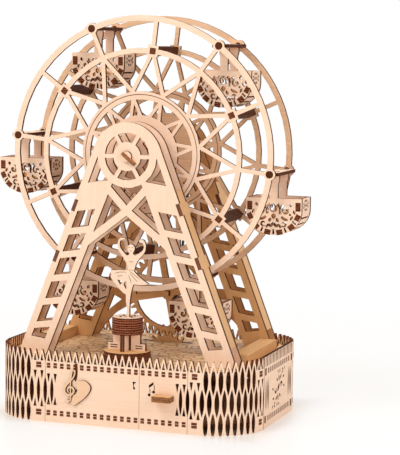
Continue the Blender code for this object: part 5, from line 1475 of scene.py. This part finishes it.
def stage_floor():
    """White floor that takes a soft shadow."""
    stage = bpy.context.scene.ferris_stage
    work = bmesh.new()
    bmesh.ops.create_grid(work, x_segments=2, y_segments=2, size=6.0)
    mesh = bpy.data.meshes.new("floor")
    work.to_mesh(mesh)
    work.free()
    finish, tree, shader = new_finish("studio_floor")
    place = object_place(tree)
    cloud = math_node(tree, "MULTIPLY", noise(tree, place, 3.0, 2.0, 0.5), 0.04)
    colour = mix_colours(tree, cloud, paint_value(stage.floor), (0.86, 0.86, 0.86, 1.0))
    tree.links.new(colour, shader.inputs["Base Color"])
    shader.inputs["Roughness"].default_value = 0.32
    shader.inputs["Specular IOR Level"].default_value = 0.25
    away = spread(tree, vector_node(tree, "LENGTH", place), 0.24, 0.75)
    half_base = (HALF_LENGTH * MM, HALF_DEPTH * MM, 0.0)
    beyond = vector_node(tree, "SUBTRACT", vector_node(tree, "ABSOLUTE", place), half_base)
    parts = tree.nodes.new("ShaderNodeSeparateXYZ")
    tree.links.new(beyond, parts.inputs[0])
    outside = math_node(tree, "MAXIMUM", parts.outputs[0], parts.outputs[1])
    near = math_node(tree, "MULTIPLY", spread(tree, outside, -0.004, 0.022), 0.60)
    glow = math_node(tree, "MULTIPLY_ADD", away, 0.40, near)
    seen = tree.nodes.new("ShaderNodeLightPath").outputs["Is Camera Ray"]
    white = tree.nodes.new("ShaderNodeEmission")
    mixed = tree.nodes.new("ShaderNodeMixShader")
    tree.links.new(math_node(tree, "MULTIPLY", glow, seen), mixed.inputs[0])
    tree.links.new(shader.outputs[0], mixed.inputs[1])
    tree.links.new(white.outputs[0], mixed.inputs[2])
    tree.links.new(mixed.outputs[0], tree.nodes["Material Output"].inputs["Surface"])
    mesh.materials.append(finish)
    item = bpy.data.objects.new("studio_floor", mesh)
    bpy.context.scene.collection.objects.link(item)


def lamp(name, place, target, size, power, colour):
    """Area lamp aimed at a target."""
    data = bpy.data.lights.new(name, "AREA")
    data.shape = "DISK"
    data.size = size
    data.energy = power
    data.color = colour
    item = bpy.data.objects.new(name, data)
    aim = (Vector(target) - Vector(place)).to_track_quat("-Z", "Y")
    item.matrix_world = Matrix.Translation(place) @ aim.to_matrix().to_4x4()
    bpy.context.scene.collection.objects.link(item)


def stage_view():
    """Camera of the photo, lamps and a white surround."""
    scene = bpy.context.scene
    stage = scene.ferris_stage
    data = bpy.data.cameras.new("photo_camera")
    data.lens = stage.lens
    data.sensor_width = 36.0
    data.sensor_fit = "AUTO"
    camera = bpy.data.objects.new("photo_camera", data)
    # The camera's own axes in the scene, worked out from the photo
    right = Vector((0.94424596, 0.32897857, 0.01314049))
    up = Vector((-0.0479779, 0.09800306, 0.99402893))
    forward = Vector((-0.32572641, 0.93923826, -0.10832269))
    turn = Matrix((right, up, -forward)).transposed().to_4x4()
    camera.matrix_world = Matrix.Translation((0.55074, -1.45518, 0.33682)) @ turn
    scene.collection.objects.link(camera)
    scene.camera = camera
    lamp("key", (-0.55, -0.95, 1.35), (0.0, 0.0, 0.12), 0.8, stage.key, (1.0, 0.98, 0.95))
    lamp("fill", (1.15, -0.70, 0.75), (0.0, 0.0, 0.15), 0.9, stage.fill, (0.97, 0.98, 1.0))
    lamp("top", (0.10, 0.35, 1.40), (0.0, 0.0, 0.10), 1.0, stage.key * 0.5, (1.0, 1.0, 1.0))
    world = bpy.data.worlds.new("studio_white")
    scene.world = world
    world.use_nodes = True
    tree = world.node_tree
    tree.nodes.clear()
    path = tree.nodes.new("ShaderNodeLightPath")
    seen = math_node(tree, "MAXIMUM", path.outputs["Is Camera Ray"], path.outputs["Is Transmission Ray"])
    seen = math_node(tree, "MAXIMUM", seen, path.outputs["Is Glossy Ray"])
    background = tree.nodes.new("ShaderNodeBackground")
    colour = mix_colours(tree, seen, (1.0, 0.90, 0.80, 1.0), (1.0, 1.0, 1.0, 1.0))
    tree.links.new(colour, background.inputs["Color"])
    strength = tree.nodes.new("ShaderNodeMix")
    tree.links.new(seen, strength.inputs[0])
    strength.inputs[2].default_value = stage.sky
    strength.inputs[3].default_value = 1.0
    tree.links.new(strength.outputs[0], background.inputs["Strength"])
    output = tree.nodes.new("ShaderNodeOutputWorld")
    tree.links.new(background.outputs[0], output.inputs["Surface"])
    scene.view_settings.view_transform = "Standard"


# Operators and panel

class FERRIS_OT_finishes(bpy.types.Operator):
    """Give the CAD nodes their plywood, brass and rubber"""

    bl_idname = "ferris.finishes"
    bl_label = "Finishes"

    def execute(self, context):
        cad_finishes()
        return {"FINISHED"}


class FERRIS_OT_flat_walls(bpy.types.Operator):
    """Build the front panel, the drawer front and the rear panel"""

    bl_idname = "ferris.flat_walls"
    bl_label = "Flat Walls"

    def execute(self, context):
        flat_walls()
        return {"FINISHED"}


class FERRIS_OT_corner_walls(bpy.types.Operator):
    """Build the four bent lattice corners"""

    bl_idname = "ferris.corner_walls"
    bl_label = "Corner Lattice"

    def execute(self, context):
        corner_walls()
        return {"FINISHED"}


class FERRIS_OT_end_walls(bpy.types.Operator):
    """Build the end walls with their leaf scroll"""

    bl_idname = "ferris.end_walls"
    bl_label = "End Walls"

    def execute(self, context):
        end_panels()
        return {"FINISHED"}


class FERRIS_OT_wall_tabs(bpy.types.Operator):
    """Build the scorched tab ends in the walls"""

    bl_idname = "ferris.wall_tabs"
    bl_label = "Wall Tabs"

    def execute(self, context):
        wall_tabs()
        return {"FINISHED"}


class FERRIS_OT_heart(bpy.types.Operator):
    """Build the heart and clef on the front"""

    bl_idname = "ferris.heart"
    bl_label = "Heart and Clef"

    def execute(self, context):
        heart_and_clef()
        return {"FINISHED"}


class FERRIS_OT_drawer_pull(bpy.types.Operator):
    """Build the bar handle of the drawer"""

    bl_idname = "ferris.drawer_pull"
    bl_label = "Drawer Handle"

    def execute(self, context):
        drawer_pull()
        return {"FINISHED"}


class FERRIS_OT_gondolas(bpy.types.Operator):
    """Build the six scroll-cut gondolas"""

    bl_idname = "ferris.gondolas"
    bl_label = "Gondolas"

    def execute(self, context):
        gondolas()
        return {"FINISHED"}


class FERRIS_OT_wheel_trim(bpy.types.Operator):
    """Build the scorched cross-bar ends of the wheel"""

    bl_idname = "ferris.wheel_trim"
    bl_label = "Wheel Trim"

    def execute(self, context):
        wheel_trim()
        return {"FINISHED"}


class FERRIS_OT_rear_arches(bpy.types.Operator):
    """Build the curved braces of the rear A-frame"""

    bl_idname = "ferris.rear_arches"
    bl_label = "Rear Arches"

    def execute(self, context):
        rear_arches()
        return {"FINISHED"}


class FERRIS_OT_dancer_stand(bpy.types.Operator):
    """Build the pedestal with its stepped boards"""

    bl_idname = "ferris.dancer_stand"
    bl_label = "Pedestal"

    def execute(self, context):
        pedestal_stand()
        return {"FINISHED"}


class FERRIS_OT_drum(bpy.types.Operator):
    """Build the layered drum with its shaft"""

    bl_idname = "ferris.drum"
    bl_label = "Drum"

    def execute(self, context):
        drum()
        return {"FINISHED"}


class FERRIS_OT_dancer(bpy.types.Operator):
    """Build the flat dancer"""

    bl_idname = "ferris.dancer"
    bl_label = "Dancer"

    def execute(self, context):
        dancer()
        return {"FINISHED"}


class FERRIS_OT_stage(bpy.types.Operator):
    """Build the floor, the lamps, the surround and the camera"""

    bl_idname = "ferris.stage"
    bl_label = "Stage"

    def execute(self, context):
        stage_floor()
        stage_view()
        return {"FINISHED"}


class FERRIS_PT_panel(bpy.types.Panel):
    """Steps and settings of the ferris wheel"""

    bl_idname = "FERRIS_PT_panel"
    bl_label = "Ferris Wheel"
    bl_space_type = "VIEW_3D"
    bl_region_type = "UI"
    bl_category = "Ferris Wheel"

    def draw(self, context):
        column = self.layout.column()
        for step in STEPS:
            column.operator(step.bl_idname)
        for group in SETTINGS:
            column.separator()
            values = getattr(context.scene, group)
            for label in values.__annotations__:
                column.prop(values, label)


STEPS = (
    FERRIS_OT_finishes,
    FERRIS_OT_flat_walls,
    FERRIS_OT_corner_walls,
    FERRIS_OT_end_walls,
    FERRIS_OT_wall_tabs,
    FERRIS_OT_heart,
    FERRIS_OT_drawer_pull,
    FERRIS_OT_gondolas,
    FERRIS_OT_wheel_trim,
    FERRIS_OT_rear_arches,
    FERRIS_OT_dancer_stand,
    FERRIS_OT_drum,
    FERRIS_OT_dancer,
    FERRIS_OT_stage,
)
SETTINGS = {
    "ferris_look": FerrisLook,
    "ferris_base": FerrisBase,
    "ferris_gondola": FerrisGondola,
    "ferris_stage": FerrisStage,
}


def register():
    """Adds the settings, the operators and the panel."""
    for group in SETTINGS.values():
        bpy.utils.register_class(group)
    for step in STEPS:
        bpy.utils.register_class(step)
    bpy.utils.register_class(FERRIS_PT_panel)
    for name, group in SETTINGS.items():
        setattr(bpy.types.Scene, name, PointerProperty(type=group))


def unregister():
    """Takes them away again."""
    for name in SETTINGS:
        delattr(bpy.types.Scene, name)
    bpy.utils.unregister_class(FERRIS_PT_panel)
    for step in reversed(STEPS):
        bpy.utils.unregister_class(step)
    for group in reversed(SETTINGS.values()):
        bpy.utils.unregister_class(group)


def main():
    """Runs every step."""
    register()
    for step in STEPS:
        area, operation = step.bl_idname.split(".")
        getattr(getattr(bpy.ops, area), operation)()


if __name__ == "__main__":
    main()
